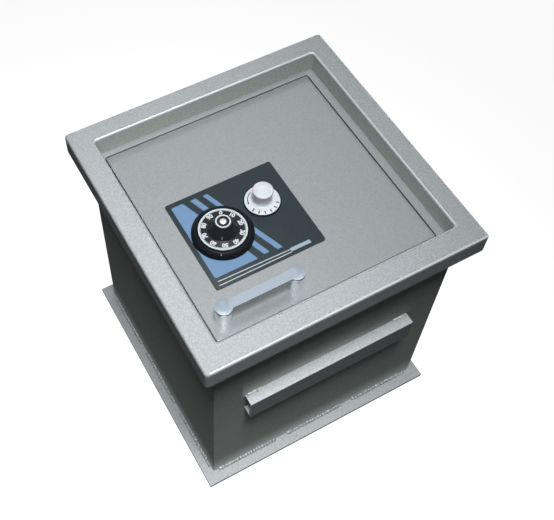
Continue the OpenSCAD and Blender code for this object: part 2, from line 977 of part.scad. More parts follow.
module crank() {
    color(steel)
        difference() {
            union() {
                translate([knob_x, knob_y, crank_top - crank_t - hub_drop])
                    cylinder(r = crank_hub_r, h = crank_t + hub_drop);
                translate([knob_x, knob_y, crank_top - crank_t])
                    linear_extrude(crank_t) {
                        rotate([0, 0, knob_turn / 2])
                            translate([0, -crank_end_r])
                                square([crank_r, 2 * crank_end_r]);
                        translate(pin_at)
                            circle(r = crank_end_r);
                    }
            }
            translate([knob_x, knob_y, crank_top - crank_t - hub_drop - cut])
                cylinder(r = shaft_d / 2, h = crank_t + hub_drop + 2 * cut);
            translate([knob_x + pin_at[0], knob_y + pin_at[1], crank_top - crank_t - cut])
                cylinder(r = drive_pin_r, h = crank_t + 2 * cut);
            cross_hole(1.5);
        }
}

module drive_pin() {
    color(steel)
        translate([knob_x + pin_at[0], knob_y + pin_at[1], crank_top - crank_t])
            cylinder(r = drive_pin_r, h = carrier_top - 0.2 - crank_top + crank_t);
}

module cross_pin() {
    color(steel)
        cross_hole(1.5);
}

// slot along Y that a round piece passes through while the carrier slides
module travel_slot(p, r) {
    for (dy = [0, bolt_throw])
        translate([p[0], p[1] + dy])
            circle(r = r);
    translate([p[0] - r, p[1]])
        square([2 * r, bolt_throw]);
}

module bolt_carrier() {
    pin_left = knob_x + pin_at[0] - drive_pin_r - drive_slack;
    pin_right = knob_x + crank_r + drive_pin_r + drive_slack;
    pin_half = drive_pin_r + drive_slack;
    color(zinc)
        translate([0, 0, carrier_bottom])
            linear_extrude(carrier_t)
                difference() {
                    union() {
                        translate([stem_left, bar_front])
                            square([stem_right - stem_left, stem_back - bar_front]);
                        translate([-bar_half, bar_front])
                            square([2 * bar_half, cross_back - bar_front]);
                    }
                    travel_slot([knob_x, knob_y], shaft_d / 2 + 0.4);
                    for (p = slot_spots)
                        travel_slot(p, shoulder_r + slide_gap);
                    translate([pin_left, knob_y + pin_at[1] - pin_half])
                        square([pin_right - pin_left, 2 * pin_half]);
                }
}

module bolt_bar() {
    color(zinc)
        difference() {
            translate([-bar_half, bar_front, bar_bottom])
                cube([2 * bar_half, bar_thick, carrier_bottom - bar_bottom]);
            for (k = [-1:1])
                translate([k * bolt_spacing, bar_front + bar_thick / 2, bolt_z])
                    rotate([90, 0, 0])
                        cylinder(r = bolt_screw_r, h = bar_thick + 2 * cut, center = true);
        }
}

// tab that the lock bolt stands behind once the bolts are thrown
module stop_tab() {
    color(zinc)
        translate([stem_left, tab_front, lock_bolt_bottom])
            cube([tab_right - stem_left, tab_t, carrier_bottom - lock_bolt_bottom]);
}

module locking_bolts() {
    length = bar_front - bolt_tip;
    color(steel)
        for (k = [-1:1])
            translate([k * bolt_spacing, bar_front, bolt_z])
                rotate([90, 0, 0])
                    difference() {
                        union() {
                            cylinder(d = bolt_d, h = length - bolt_chamfer);
                            translate([0, 0, length - bolt_chamfer])
                                cylinder(r1 = bolt_d / 2, r2 = bolt_d / 2 - bolt_chamfer,
                                    h = bolt_chamfer);
                        }
                        translate([0, 0, -cut])
                            cylinder(r = bolt_screw_r, h = bolt_screw_in + 1 + cut);
                    }
}

module bolt_screws() {
    color(steel)
        for (k = [-1:1])
            translate([k * bolt_spacing, bar_front + bar_thick, bolt_z])
                rotate([90, 0, 0])
                    difference() {
                        union() {
                            cylinder(r = bolt_screw_r, h = bar_thick + bolt_screw_in);
                            translate([0, 0, -screw_head_t])
                                cylinder(r = screw_head_r, h = screw_head_t);
                        }
                        translate([0, 0, -screw_head_t])
                            mirror([0, 0, 1])
                                hex_socket(socket_r, socket_depth);
                    }
}

// three blocks under the door, each bored for one locking bolt
module bolt_guides() {
    block = bolt_d + 2 * guide_side;
    color(zinc)
        for (k = [-1:1])
            difference() {
                translate([k * bolt_spacing - block / 2, guide_back - guide_t, bar_bottom - bolt_skin])
                    cube([block, guide_t, door_bottom - bar_bottom + bolt_skin]);
                translate([k * bolt_spacing, guide_back + cut, bolt_z])
                    rotate([90, 0, 0])
                        cylinder(r = bolt_d / 2 + running_gap, h = guide_t + 2 * cut);
            }
}

// shoulder screws that carry the bolt carrier in its slots
module carrier_screws() {
    head_top = carrier_bottom - 0.2;
    color(steel)
        for (p = slot_spots)
            translate([p[0], p[1], 0])
                difference() {
                    union() {
                        translate([0, 0, head_top])
                            cylinder(r = shoulder_r, h = door_bottom - head_top);
                        translate([0, 0, door_bottom])
                            cylinder(r = shoulder_r - 1.5, h = screw_in);
                        translate([0, 0, head_top - shoulder_head_t])
                            cylinder(r = shoulder_r + 3, h = shoulder_head_t);
                    }
                    translate([0, 0, head_top - shoulder_head_t])
                        mirror([0, 0, 1])
                            hex_socket(socket_r, socket_depth);
                }
}

module handle_bar() {
    color(steel)
        translate([0, 0, door_top + handle_h - bar_t])
            linear_extrude(bar_t) {
                for (p = post_spots)
                    translate(p)
                        circle(d = bar_end_d);
                translate([handle_x, handle_y])
                    square([handle_cc, bar_w], center = true);
            }
}

module handle_posts() {
    color(steel)
        for (p = post_spots)
            translate([p[0], p[1], door_top])
                difference() {
                    cylinder(d = post_d, h = handle_h - bar_t);
                    translate([0, 0, -cut])
                        cylinder(r = handle_screw_r, h = handle_screw_in + 1 + cut);
                }
}

module handle_screws() {
    color(steel)
        for (p = post_spots)
            translate([p[0], p[1], 0])
                difference() {
                    union() {
                        translate([0, 0, door_bottom])
                            cylinder(r = handle_screw_r, h = door_t + handle_screw_in);
                        translate([0, 0, door_bottom - screw_head_t])
                            cylinder(r = screw_head_r, h = screw_head_t);
                    }
                    translate([0, 0, door_bottom - screw_head_t])
                        mirror([0, 0, 1])
                            hex_socket(socket_r, socket_depth);
                }
}

base_plate();
body_shell();
foot_welds();
top_frame();
door_ledge();
door_seat();
anchor_channel();
channel_welds();
hinge_pins();
door_plate();
lock_plate();
dial_ring();
ring_screws();
spindle_tube();
lock_case();
lock_cover();
lock_screws();
wheel_post();
wheel_spacers();
post_clip();
knob_bush();
knob_bezel();
bolt_guides();
carrier_screws();
handle_bar();
handle_posts();
handle_screws();
dial();
dial_cap();
spindle();
drive_cam();
cam_nut();
wheel(0);  // wheel_1
wheel(1);  // wheel_2
wheel(2);  // wheel_3
lock_bolt();
lock_lever();
lever_screw();
open_knob();
knob_cap();
knob_shaft();
crank();
drive_pin();
cross_pin();
bolt_carrier();
bolt_bar();
stop_tab();
locking_bolts();
bolt_screws();
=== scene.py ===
"""In-floor safe with a hinged square door that lies flush in a pressed top frame.

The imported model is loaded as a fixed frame. Its solids get their finishes here, and the pieces
whose real shape is finer than the plain solid are modelled in the same place, on the same
bodies. Lengths are in millimetres, and in metres only in the studio. Heights are above the
floor. A profile is a row of (radius, height) points whose heights are counted from a face of
the piece.
"""

import logging
import math
from dataclasses import dataclass
from enum import Enum
from typing import Callable, ClassVar, Dict, Iterable, List, Mapping, Optional, Protocol
from typing import Sequence, Tuple, Union

import bpy
from bpy.types import Material, Node, NodeSocket, NodeTree, Object
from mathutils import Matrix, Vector


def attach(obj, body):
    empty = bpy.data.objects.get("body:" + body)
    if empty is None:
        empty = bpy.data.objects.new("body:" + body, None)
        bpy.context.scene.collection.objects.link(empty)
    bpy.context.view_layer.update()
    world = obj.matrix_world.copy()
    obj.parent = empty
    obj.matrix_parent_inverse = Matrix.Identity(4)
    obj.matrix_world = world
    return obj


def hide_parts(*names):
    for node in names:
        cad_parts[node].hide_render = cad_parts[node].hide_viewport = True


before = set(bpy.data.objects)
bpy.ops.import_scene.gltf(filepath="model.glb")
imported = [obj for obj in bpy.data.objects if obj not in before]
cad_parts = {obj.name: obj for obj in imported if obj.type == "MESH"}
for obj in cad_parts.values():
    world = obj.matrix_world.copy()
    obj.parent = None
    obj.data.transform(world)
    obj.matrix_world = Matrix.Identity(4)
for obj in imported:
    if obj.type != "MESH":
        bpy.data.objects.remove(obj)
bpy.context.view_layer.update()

MM = 0.001
LOG = logging.getLogger("floor_safe")

Colour = Tuple[float, float, float]
Place = Tuple[float, float, float]
Box = Tuple[float, float, float, float]
Spot = Tuple[float, float]
Outline = Sequence[Spot]
Value = Union[float, Colour, NodeSocket]


class Body(str, Enum):
    """The bodies that the new pieces ride on."""

    SAFE = "safe"
    DOOR = "door"
    DIAL = "dial"
    KNOB = "knob"


class Slot(str, Enum):
    """The record's material slots, passed along with the new pieces."""

    WELD = "weld"
    CHROME = "chrome"
    DARK = "dark_plastic"
    WHITE = "white_plastic"
    PRINT = "printed_plate"


def metres(*lengths: float) -> Tuple[float, ...]:
    """Lengths in millimetres, made metres."""
    return tuple(length * MM for length in lengths)


def around(centre: Spot, radius: float, aim_deg: float) -> Spot:
    """The point at a radius and a direction from a centre."""
    aim = math.radians(aim_deg)
    return centre[0] + radius * math.cos(aim), centre[1] + radius * math.sin(aim)


def raised(profile: Outline, height: float) -> List[Spot]:
    """A profile with its heights counted from the floor."""
    return [(radius, height + rise) for radius, rise in profile]


def shade(colour: Colour, factor: float) -> Colour:
    """A lighter or darker tone of a colour."""
    return tuple(min(1.0, part * factor) for part in colour)


# Finishes


@dataclass(frozen=True)
class Grain:
    """A cloudy pattern: patches per metre, detail, how far it tones, and its relief."""

    per_metre: float
    detail: float
    most: float = 1.0
    relief: Spot = (0.0, 0.0)


class Wiring:
    """A node tree, with short calls that add its nodes and plug their sockets."""

    def __init__(self, tree: NodeTree) -> None:
        """Keep the tree that the nodes go into."""
        self.tree = tree

    def plug(self, value: Value, socket: NodeSocket) -> None:
        """Link a socket, or set a plain value on it.

        Args:
            value: the socket to link from, a number, a colour or a vector.
            socket: the socket that takes it.
        """
        if isinstance(value, NodeSocket):
            self.tree.links.new(value, socket)
        else:
            socket.default_value = (*value, 1.0) if socket.type == "RGBA" else value

    def add(self, kind: str, inputs: Mapping[Union[int, str], Value], **options: str) -> Node:
        """Add a node, set its options and then plug its inputs.

        Args:
            kind: the node's kind.
            inputs: what goes into each socket, by its name or number.
            **options: the node's own settings.

        Returns:
            The node.
        """
        node = self.tree.nodes.new("ShaderNode" + kind)
        for name, option in options.items():
            setattr(node, name, option)
        for key, value in inputs.items():
            self.plug(value, node.inputs[key])
        return node

    def maths(self, operation: str, *values: Value) -> NodeSocket:
        """The result of one operation on numbers or sockets."""
        return self.add("Math", dict(enumerate(values)), operation=operation).outputs[0]


class Board(Wiring):
    """The node tree of one finish, whose patterns follow the object's own coordinates."""

    EDGE: ClassVar[float] = 0.2

    def __init__(self, name: str) -> None:
        """Start an empty finish.

        Args:
            name: the material's name.
        """
        self.material = bpy.data.materials.new(name)
        self.material.use_nodes = True
        super().__init__(self.material.node_tree)
        self.shader = self.tree.nodes["Principled BSDF"]
        self.place = self.add("TexCoord", {}).outputs["Object"]
        self.relief: Optional[NodeSocket] = None

    def stretched(self, scale: Place) -> NodeSocket:
        """The object's coordinates, scaled along each axis."""
        return self.add("Mapping", {"Scale": scale, "Vector": self.place}).outputs["Vector"]

    def noise(self, grain: Grain, where: Optional[NodeSocket] = None) -> NodeSocket:
        """Cloudy noise, by the object's coordinates or others."""
        inputs = {"Scale": grain.per_metre, "Detail": grain.detail, "Vector": where or self.place}
        return self.add("TexNoise", inputs).outputs["Fac"]

    def cells(self, per_metre: float, smooth: float = 0.0) -> NodeSocket:
        """Distance to the middle of the nearest cell.

        Args:
            per_metre: cells per metre.
            smooth: how much the cells run into each other.

        Returns:
            The distance.
        """
        inputs = {"Scale": per_metre, "Vector": self.place}
        if smooth:
            inputs["Smoothness"] = smooth
        feature = "SMOOTH_F1" if smooth else "F1"
        return self.add("TexVoronoi", inputs, feature=feature).outputs["Distance"]

    def along(self, axis: str) -> NodeSocket:
        """One of the object's coordinates."""
        return self.add("SeparateXYZ", {0: self.place}).outputs[axis]

    def band(self, axis: str, low: float, high: float) -> NodeSocket:
        """One where a coordinate lies between two values, and zero elsewhere."""
        middle, half = metres((low + high) / 2, (high - low) / 2)
        return self.maths("COMPARE", self.along(axis), middle, half)

    def fade(self, axis: str, low: float, high: float) -> NodeSocket:
        """One up to a coordinate, falling to zero at another."""
        return self.span(self.along(axis), 1, 0, *metres(low, high))

    def farther(self, limit: float) -> NodeSocket:
        """One where the larger of |x| and |y| passes a limit, and zero inside the square."""
        larger = self.maths("MAXIMUM", *(self.maths("ABSOLUTE", self.along(a)) for a in "XY"))
        return self.span(larger, 0, 1, *metres(limit - self.EDGE, limit + self.EDGE))

    def both(self, first: NodeSocket, second: NodeSocket) -> NodeSocket:
        """The product of two values."""
        return self.maths("MULTIPLY", first, second)

    def span(self, value: NodeSocket, low: float, high: float, start: float = 0.3,
             end: float = 0.7) -> NodeSocket:
        """Spread a value between two numbers.

        Args:
            value: the value, such as a noise, most of which lies between start and end.
            low: what start becomes.
            high: what end becomes.
            start: the value that becomes low.
            end: the value that becomes high.

        Returns:
            The spread value.
        """
        inputs = {
            "Value": value, "From Min": start, "From Max": end, "To Min": low, "To Max": high,
        }
        return self.add("MapRange", inputs).outputs["Result"]

    def mix(self, factor: NodeSocket, first: Value, second: Value,
            blend: str = "MIX") -> NodeSocket:
        """Blend two colours."""
        inputs = {0: factor, 6: first, 7: second}
        return self.add("Mix", inputs, data_type="RGBA", blend_type=blend).outputs[2]

    def tinted(self, factor: NodeSocket, colour: NodeSocket, tint: Colour) -> NodeSocket:
        """A colour multiplied by a tint as far as the factor says."""
        return self.mix(factor, colour, tint, "MULTIPLY")

    def veined(self, pattern: NodeSocket, most: float, first: Value, second: Value) -> NodeSocket:
        """One colour, blended with a share of another where a pattern is high."""
        return self.mix(self.span(pattern, 0, most), first, second)

    def toned(self, pattern: NodeSocket, base: Colour, tones: Spot) -> NodeSocket:
        """A colour that runs between two of its tones with a pattern."""
        return self.veined(pattern, 1, *(shade(base, tone) for tone in tones))

    def varied(self, pattern: NodeSocket, middle: float, shares: Spot) -> NodeSocket:
        """A number that runs between two shares of itself with a pattern."""
        return self.span(pattern, *(middle * share for share in shares))

    def bump(self, height: NodeSocket, relief: Spot, share: float = 1.0) -> None:
        """Lay a relief over the ones already there.

        Args:
            height: the pattern that stands up.
            relief: how much of it shows, and how far it stands up.
            share: the share of it that shows on this finish.
        """
        strength, depth = relief
        inputs = {"Strength": strength * share, "Distance": depth * MM, "Height": height}
        if self.relief is not None:
            inputs["Normal"] = self.relief
        self.relief = self.add("Bump", inputs).outputs["Normal"]

    def finish(self, colour: Value, roughness: Value, **sockets: Value) -> Material:
        """Plug the shader's sockets and hand over the material.

        Args:
            colour: the base colour, or the socket that paints it.
            roughness: a number, or the socket that varies it.
            **sockets: values for other sockets of the shader, with _ for each space.

        Returns:
            The finished material.
        """
        self.plug(colour, self.shader.inputs["Base Color"])
        self.plug(roughness, self.shader.inputs["Roughness"])
        if self.relief is not None:
            self.plug(self.relief, self.shader.inputs["Normal"])
        for name, value in sockets.items():
            self.plug(value, self.shader.inputs[name.replace("_", " ")])
        return self.material


class Finish(Protocol):
    """A finish that can make its material."""

    name: str

    def make(self) -> Material:
        """Make the material."""


@dataclass(frozen=True)
class HammerPaint:
    """Grey enamel with a leafing metal flake: small cells, orange peel and a faint cloudiness.

    A coat may also carry painted light: painted shade past a limit, painted reflected light on
    the recess walls, a painted reflection of the base plate that fades out up to a height, a
    painted reflection of the channel's flange on the wall above it, or a painted highlight along
    a lip. The highlight holds the lip's low and high edge, the shade the limit and the level past
    it, and the channel's reflection the left, right, low and high edge.
    """

    name: str
    base: Colour
    cell: float = 2.8
    gloss: float = 0.0
    rough: float = 0.5
    contrast: float = 1.0
    coat: float = 0.0
    metal: float = 0.0
    # These five fields paint light: a lip highlight, reflections of the base plate and the
    # channel's flange, shade past a limit, and reflected light on the recess walls.
    wear_and_highlight: Optional[Spot] = None
    base_reflection_to: Optional[float] = None
    channel_reflection_patch: Optional[Box] = None
    painted_shade: Optional[Spot] = None
    painted_recess_light: Optional[Colour] = None

    CELL_SMOOTH: ClassVar[float] = 0.25
    CELL_SPAN: ClassVar[Spot] = (0.1, 0.6)
    CELL_RELIEF: ClassVar[Spot] = (0.30, 0.25)
    PATCH: ClassVar[Grain] = Grain(95, 3, 0.55)
    CLOUD: ClassVar[Grain] = Grain(11, 3, 0.4)
    FINE: ClassVar[Grain] = Grain(620, 3, 0.5, (0.16, 0.12))
    FLAKE_TONES: ClassVar[Spot] = (0.16, -0.24)
    PATCH_TONE: ClassVar[float] = -0.16
    FINE_TONE: ClassVar[float] = 0.26
    CLOUD_TONE: ClassVar[float] = -0.07
    ROUGH_SHARES: ClassVar[Spot] = (0.88, 1.2)
    COAT_ROUGH: ClassVar[float] = 0.16
    RECESS_Z: ClassVar[Spot] = (370.0, 406.0)
    RECESS_SIDE: ClassVar[float] = 173.5
    BASE_TOP: ClassVar[float] = 6.0
    # Painted reflection of the base plate: the tint that lightens the walls near the foot.
    BASE_REFLECTION_TINT: ClassVar[Colour] = (2.1, 2.1, 2.1)
    FRONT_WALL_Y: ClassVar[Spot] = (-180.0, -175.5)
    # Painted reflection of the channel's flange: the tint that lightens the wall above it.
    CHANNEL_REFLECTION_TINT: ClassVar[Colour] = (1.95, 1.95, 1.95)
    LIP_X: ClassVar[Spot] = (-194.0, 250.0)
    # Painted highlight along the lips: its lighter tone and its metallic share.
    LIP_HIGHLIGHT_TONE: ClassVar[float] = 1.16
    LIP_HIGHLIGHT_METAL: ClassVar[float] = 0.7

    def flaked(self, board: Board, patch: NodeSocket) -> NodeSocket:
        """The enamel's colour before any tint, with its relief laid on.

        Args:
            board: the finish.
            patch: the middle-sized patches.

        Returns:
            The colour.
        """
        cells = board.cells(1 / (self.cell * MM), self.CELL_SMOOTH)
        cloud, fine = board.noise(self.CLOUD), board.noise(self.FINE)
        light, dark, dull, spark = (
            shade(self.base, 1 + part * self.contrast)
            for part in (*self.FLAKE_TONES, self.PATCH_TONE, self.FINE_TONE)
        )
        flake = board.mix(board.span(cells, 0, 1, *self.CELL_SPAN), light, dark)
        patched = board.veined(patch, self.PATCH.most, flake, dull)
        dimmed = shade(self.base, 1 + self.CLOUD_TONE)
        clouded = board.veined(cloud, self.CLOUD.most, patched, dimmed)
        board.bump(cells, self.CELL_RELIEF, self.contrast)
        board.bump(fine, self.FINE.relief, self.contrast)
        return board.veined(fine, self.FINE.most, clouded, spark)

    def make(self) -> Material:
        """Make the material.

        Returns:
            The finished material.
        """
        board = Board(self.name)
        patch = board.noise(self.PATCH)
        colour, metallic = self.flaked(board, patch), self.metal
        # Painted shade: past a limit in x or y the colour is darkened, on the frame's outer skirt
        # and the channel's web.
        if self.painted_shade is not None:
            limit, level = self.painted_shade
            colour = board.tinted(board.farther(limit), colour, (level,) * 3)
        # Painted reflected light: the recess walls are lightened where the lit door throws light
        # on them.
        if self.painted_recess_light is not None:
            inside = board.span(board.farther(self.RECESS_SIDE), 1, 0, 0, 1)
            recess = board.both(board.band("Z", *self.RECESS_Z), inside)
            colour = board.tinted(recess, colour, self.painted_recess_light)
        # Painted reflection of the base plate: the walls are lightened near the foot, fading out
        # up to a height.
        if self.base_reflection_to is not None:
            base_reflection = board.fade("Z", self.BASE_TOP, self.base_reflection_to)
            colour = board.tinted(base_reflection, colour, self.BASE_REFLECTION_TINT)
        # Painted reflection of the channel's flange: the front wall is lightened just above the
        # channel, fading upwards and to the right.
        if self.channel_reflection_patch is not None:
            left, right, low, high = self.channel_reflection_patch
            across = board.both(board.band("X", left, right), board.fade("X", 0, right))
            near = board.both(across, board.band("Y", *self.FRONT_WALL_Y))
            above = board.both(board.band("Z", low, high), board.fade("Z", low, high))
            colour = board.tinted(board.both(near, above), colour, self.CHANNEL_REFLECTION_TINT)
        # Painted highlight: a lighter, partly metallic band along the frame's lips, between two
        # heights and clear of the left outer rim.
        if self.wear_and_highlight is not None:
            lip = board.both(board.band("Z", *self.wear_and_highlight), board.band("X", *self.LIP_X))
            colour = board.mix(lip, colour, shade(self.base, self.LIP_HIGHLIGHT_TONE))
            metallic = board.span(lip, 0, self.LIP_HIGHLIGHT_METAL, 0, 1)
        return board.finish(
            colour, board.varied(patch, self.rough, self.ROUGH_SHARES), Metallic=metallic,
            Specular_IOR_Level=self.gloss, Coat_Weight=self.coat, Coat_Roughness=self.COAT_ROUGH,
        )


@dataclass(frozen=True)
class WeldMetal:
    """Bead of weld: bright ripples, dull between them, with a little scale and spatter."""

    name: str
    base: Colour
    tones: Spot = (0.45, 1.25)
    rough: Spot = (0.34, 0.6)
    metal: float = 0.25

    SCALE: ClassVar[Grain] = Grain(330, 4, relief=(0.6, 0.5))
    SPATTER_PER_METRE: ClassVar[float] = 650
    SPATTER_RELIEF: ClassVar[Spot] = (0.3, 0.35)

    def make(self) -> Material:
        """Make the material.

        Returns:
            The finished material.
        """
        board = Board(self.name)
        scale, spatter = board.noise(self.SCALE), board.cells(self.SPATTER_PER_METRE)
        board.bump(scale, self.SCALE.relief)
        board.bump(spatter, self.SPATTER_RELIEF)
        colour = board.toned(scale, self.base, self.tones)
        return board.finish(colour, board.span(scale, *self.rough), Metallic=self.metal)


@dataclass(frozen=True)
class Metal:
    """Machined or drawn metal, with fine lines left by the tool or the brush."""

    name: str
    base: Colour
    rough: float
    lines: Place
    tint: Colour
    line_depth: float = 0.02
    tones: Spot = (0.90, 1.07)
    rough_shares: Spot = (0.8, 1.25)

    LINES: ClassVar[Grain] = Grain(260, 3)
    LINE_STRENGTH: ClassVar[float] = 0.25
    CLOUD: ClassVar[Grain] = Grain(38, 3, 0.45)

    def make(self) -> Material:
        """Make the material.

        Returns:
            The finished material.
        """
        board = Board(self.name)
        lines = board.noise(self.LINES, board.stretched(self.lines))
        cloud = board.noise(self.CLOUD)
        board.bump(lines, (self.LINE_STRENGTH, self.line_depth))
        tone = board.toned(lines, self.base, self.tones)
        colour = board.veined(cloud, self.CLOUD.most, tone, self.tint)
        return board.finish(
            colour, board.varied(lines, self.rough, self.rough_shares), Metallic=1.0)


@dataclass(frozen=True)
class CastMetal:
    """Die-cast zinc alloy: a fine, slightly pitted grain and a dull skin."""

    name: str
    base: Colour
    rough: float = 0.5
    tones: Spot = (0.88, 1.08)
    grain_tone: float = 0.78
    rough_shares: Spot = (0.85, 1.15)
    metal: float = 0.85

    GRAIN: ClassVar[Grain] = Grain(1500, 3, 0.4, (0.35, 0.06))
    FLOW: ClassVar[Grain] = Grain(24, 4)
    PITS_PER_METRE: ClassVar[float] = 420
    PIT_RELIEF: ClassVar[Spot] = (0.12, 0.10)

    def make(self) -> Material:
        """Make the material.

        Returns:
            The finished material.
        """
        board = Board(self.name)
        grain, flow = board.noise(self.GRAIN), board.noise(self.FLOW)
        board.bump(grain, self.GRAIN.relief)
        board.bump(board.cells(self.PITS_PER_METRE), self.PIT_RELIEF)
        tone = board.toned(flow, self.base, self.tones)
        colour = board.veined(grain, self.GRAIN.most, tone, shade(self.base, self.grain_tone))
        return board.finish(
            colour, board.varied(grain, self.rough, self.rough_shares), Metallic=self.metal)


@dataclass(frozen=True)
class Plastic:
    """Moulded plastic: an even colour with a faint mould grain and light handling marks."""

    name: str
    base: Colour
    rough: float
    grain: float
    relief: float
    gloss: float
    depth: float = 0.0
    tones: Spot = (0.93, 1.05)
    rough_shares: Spot = (0.85, 1.2)
    light_reach: float = 2.0

    HANDLING: ClassVar[Grain] = Grain(70, 5)
    GRAIN_DETAIL: ClassVar[float] = 2
    GRAIN_STRENGTH: ClassVar[float] = 0.2

    def make(self) -> Material:
        """Make the material.

        Returns:
            The finished material.
        """
        board = Board(self.name)
        wear_and_highlight = board.noise(self.HANDLING)
        grain = board.noise(Grain(1 / (self.grain * MM), self.GRAIN_DETAIL))
        board.bump(grain, (self.GRAIN_STRENGTH, self.relief))
        return board.finish(
            board.toned(wear_and_highlight, self.base, self.tones),
            board.varied(wear_and_highlight, self.rough, self.rough_shares),
            Specular_IOR_Level=self.gloss,
            Subsurface_Weight=self.depth,
            Subsurface_Scale=self.light_reach * MM,
        )


@dataclass(frozen=True)
class Ink:
    """Screen-printed ink or baked enamel: flat, with the soft unevenness of a pulled coat."""

    name: str
    base: Colour
    rough: float = 0.42
    uneven: float = 0.05
    gloss: float = 0.4
    rough_shares: Spot = (0.9, 1.1)

    COAT: ClassVar[Grain] = Grain(160, 4)
    SPECK: ClassVar[Grain] = Grain(1400, 2, 0.2, (0.12, 0.02))

    def make(self) -> Material:
        """Make the material.

        Returns:
            The finished material.
        """
        board = Board(self.name)
        coat, speck = board.noise(self.COAT), board.noise(self.SPECK)
        board.bump(speck, self.SPECK.relief)
        tone = board.toned(coat, self.base, (1 - self.uneven, 1 + self.uneven))
        dull = shade(self.base, 1 - 2 * self.uneven)
        colour = board.veined(speck, self.SPECK.most, tone, dull)
        roughness = board.varied(coat, self.rough, self.rough_shares)
        return board.finish(colour, roughness, Specular_IOR_Level=self.gloss)


class Palette:
    """Every finish of the safe, made once and shared."""

    PAINT = HammerPaint("hammer_paint", (0.46, 0.49, 0.505))
    # The channel's web, past 191.7 mm out, gets painted shade.
    CHANNEL_PAINT = HammerPaint(
        "channel_hammer_paint", (0.62, 0.66, 0.68), painted_shade=(191.7, 0.36))
    # The frame gets painted shade on its outer skirt, painted reflected light on the recess walls
    # and a painted highlight along its lips.
    FRAME_PAINT = HammerPaint(
        "frame_hammer_paint", (0.43, 0.463, 0.478), wear_and_highlight=(408.4, 409.75),
        painted_shade=(198.5, 0.72), painted_recess_light=(1.30, 1.32, 1.20))
    DOOR_PAINT = HammerPaint(
        "door_hammer_paint", (0.284, 0.308, 0.320), 2.6, 1.0, 0.20, 0.65, 0.3, 0.12)
    LEDGE_PAINT = HammerPaint(
        "ledge_hammer_paint", (0.40, 0.43, 0.445), 2.6, 1.0, 0.20, 0.65, 0.3, 0.12)
    # The body gets a painted reflection of the base plate near the foot and a painted reflection
    # of the channel's flange above the channel.
    BODY_PAINT = HammerPaint(
        "body_hammer_paint", (0.33, 0.362, 0.350), base_reflection_to=50,
        channel_reflection_patch=(-134, 133, 236, 280))
    INNER_PAINT = HammerPaint("inner_paint", (0.36, 0.39, 0.39), 2.6, 0.2)
    WELD = WeldMetal("weld_metal", (0.40, 0.43, 0.43))
    BRIGHT_WELD = WeldMetal("bright_weld_metal", (0.66, 0.70, 0.67))
    DRAWN_STEEL = Metal("drawn_steel", (0.50, 0.51, 0.52), 0.30, (1, 1, 22), (0.42, 0.42, 0.41))
    DARK_STEEL = Metal("oiled_steel", (0.10, 0.10, 0.105), 0.42, (1, 1, 22), (0.07, 0.07, 0.07))
    SATIN_BAR = Metal(
        "satin_chrome", (0.30, 0.35, 0.40), 0.34, (1.5, 30, 30), (0.335, 0.39, 0.44), 0.015)
    POLISHED_POST = Metal(
        "polished_chrome", (0.84, 0.88, 0.91), 0.16, (1, 1, 30), (0.88, 0.92, 0.94), 0.01)
    TURNED_BRASS = Metal("turned_brass", (0.62, 0.46, 0.20), 0.28, (1, 1, 24), (0.52, 0.36, 0.15))
    ZINC_PLATE = Metal("zinc_plate", (0.58, 0.59, 0.57), 0.36, (6, 6, 6), (0.60, 0.56, 0.42))
    CAP_SILVER = Metal(
        "cap_silver", (0.74, 0.74, 0.77), 0.22, (1, 1, 14), (0.80, 0.80, 0.82), 0.01)
    DIE_CAST = CastMetal("die_cast_zinc", (0.44, 0.45, 0.47))
    DIAL_BLACK = Plastic("dial_black", (0.011, 0.013, 0.016), 0.34, 0.9, 0.015, 0.22)
    RING_BLACK = Plastic("ring_black", (0.004, 0.006, 0.009), 0.42, 0.7, 0.03, 0.11)
    KNOB_WHITE = Plastic("knob_white", (0.62, 0.665, 0.715), 0.30, 0.8, 0.01, 0.5, 0.08)
    KNOB_INK = Ink("knob_ink", (0.035, 0.040, 0.048))
    DIAL_INK = Ink("dial_ink", (0.56, 0.63, 0.67), 0.5, 0.03)
    TICK_INK = Ink("tick_ink", (0.22, 0.23, 0.24), 0.5)
    PLATE_DARK = Ink("plate_charcoal", (0.013, 0.024, 0.030), 0.36, 0.06, 0.30)
    PLATE_BLUE = Ink("plate_blue", (0.137, 0.242, 0.40), 0.40)
    PLATE_GREY = Ink("plate_grey_blue", (0.31, 0.40, 0.49), 0.40)
    PLATE_LINE = Ink("plate_pale_line", (0.42, 0.49, 0.52))

    made: Dict[str, Material] = {}

    @classmethod
    def material(cls, finish: Finish) -> Material:
        """The one material of a finish.

        Args:
            finish: the finish.

        Returns:
            Its material, made at the first call.
        """
        if finish.name not in cls.made:
            cls.made[finish.name] = finish.make()
        return cls.made[finish.name]


# Modelling steps


@dataclass(frozen=True)
class Mark:
    """A thin printed or inlaid bar that points away from an axis.

    Its radius and height are those of its middle, on a surface that falls outwards by
    slope_deg. It stands as high as thick above the surface, and as far below. Its edges are
    softened by a share of thick.
    """

    radius: float
    height: float
    length: float
    width: float
    thick: float
    slope_deg: float = 0.0
    soft_share: float = 0.4


@dataclass(frozen=True)
class Digits:
    """How a printed number is drawn; size and swell are shares of a digit's height."""

    size: float = 1.38
    swell: float = 0.065
    spacing: float = 0.94
    thick: float = 0.12
    curve_steps: int = 4


@dataclass(frozen=True)
class Ripple:
    """The ripples of a weld bead.

    Its start and tip are shares of its leg, and growth is what each ripple adds to the tip.
    Every second ripple is a valley, which keeps that share of its size.
    """

    pitch: float = 0.95
    facets: int = 28
    start: float = 0.55
    tip: float = 0.62
    growth: float = 0.20
    valley: float = 0.86
    sway: float = 0.04
    sway_rate: float = 1.9
    smooth_deg: float = 50.0

    def size(self, k: int, count: int) -> float:
        """The bead's size at one of its ripples."""
        ends = min(1.0, self.tip + self.growth * min(k, count - k)) * (1 if k % 2 else self.valley)
        return ends * (1 + self.sway * math.sin(self.sway_rate * k))


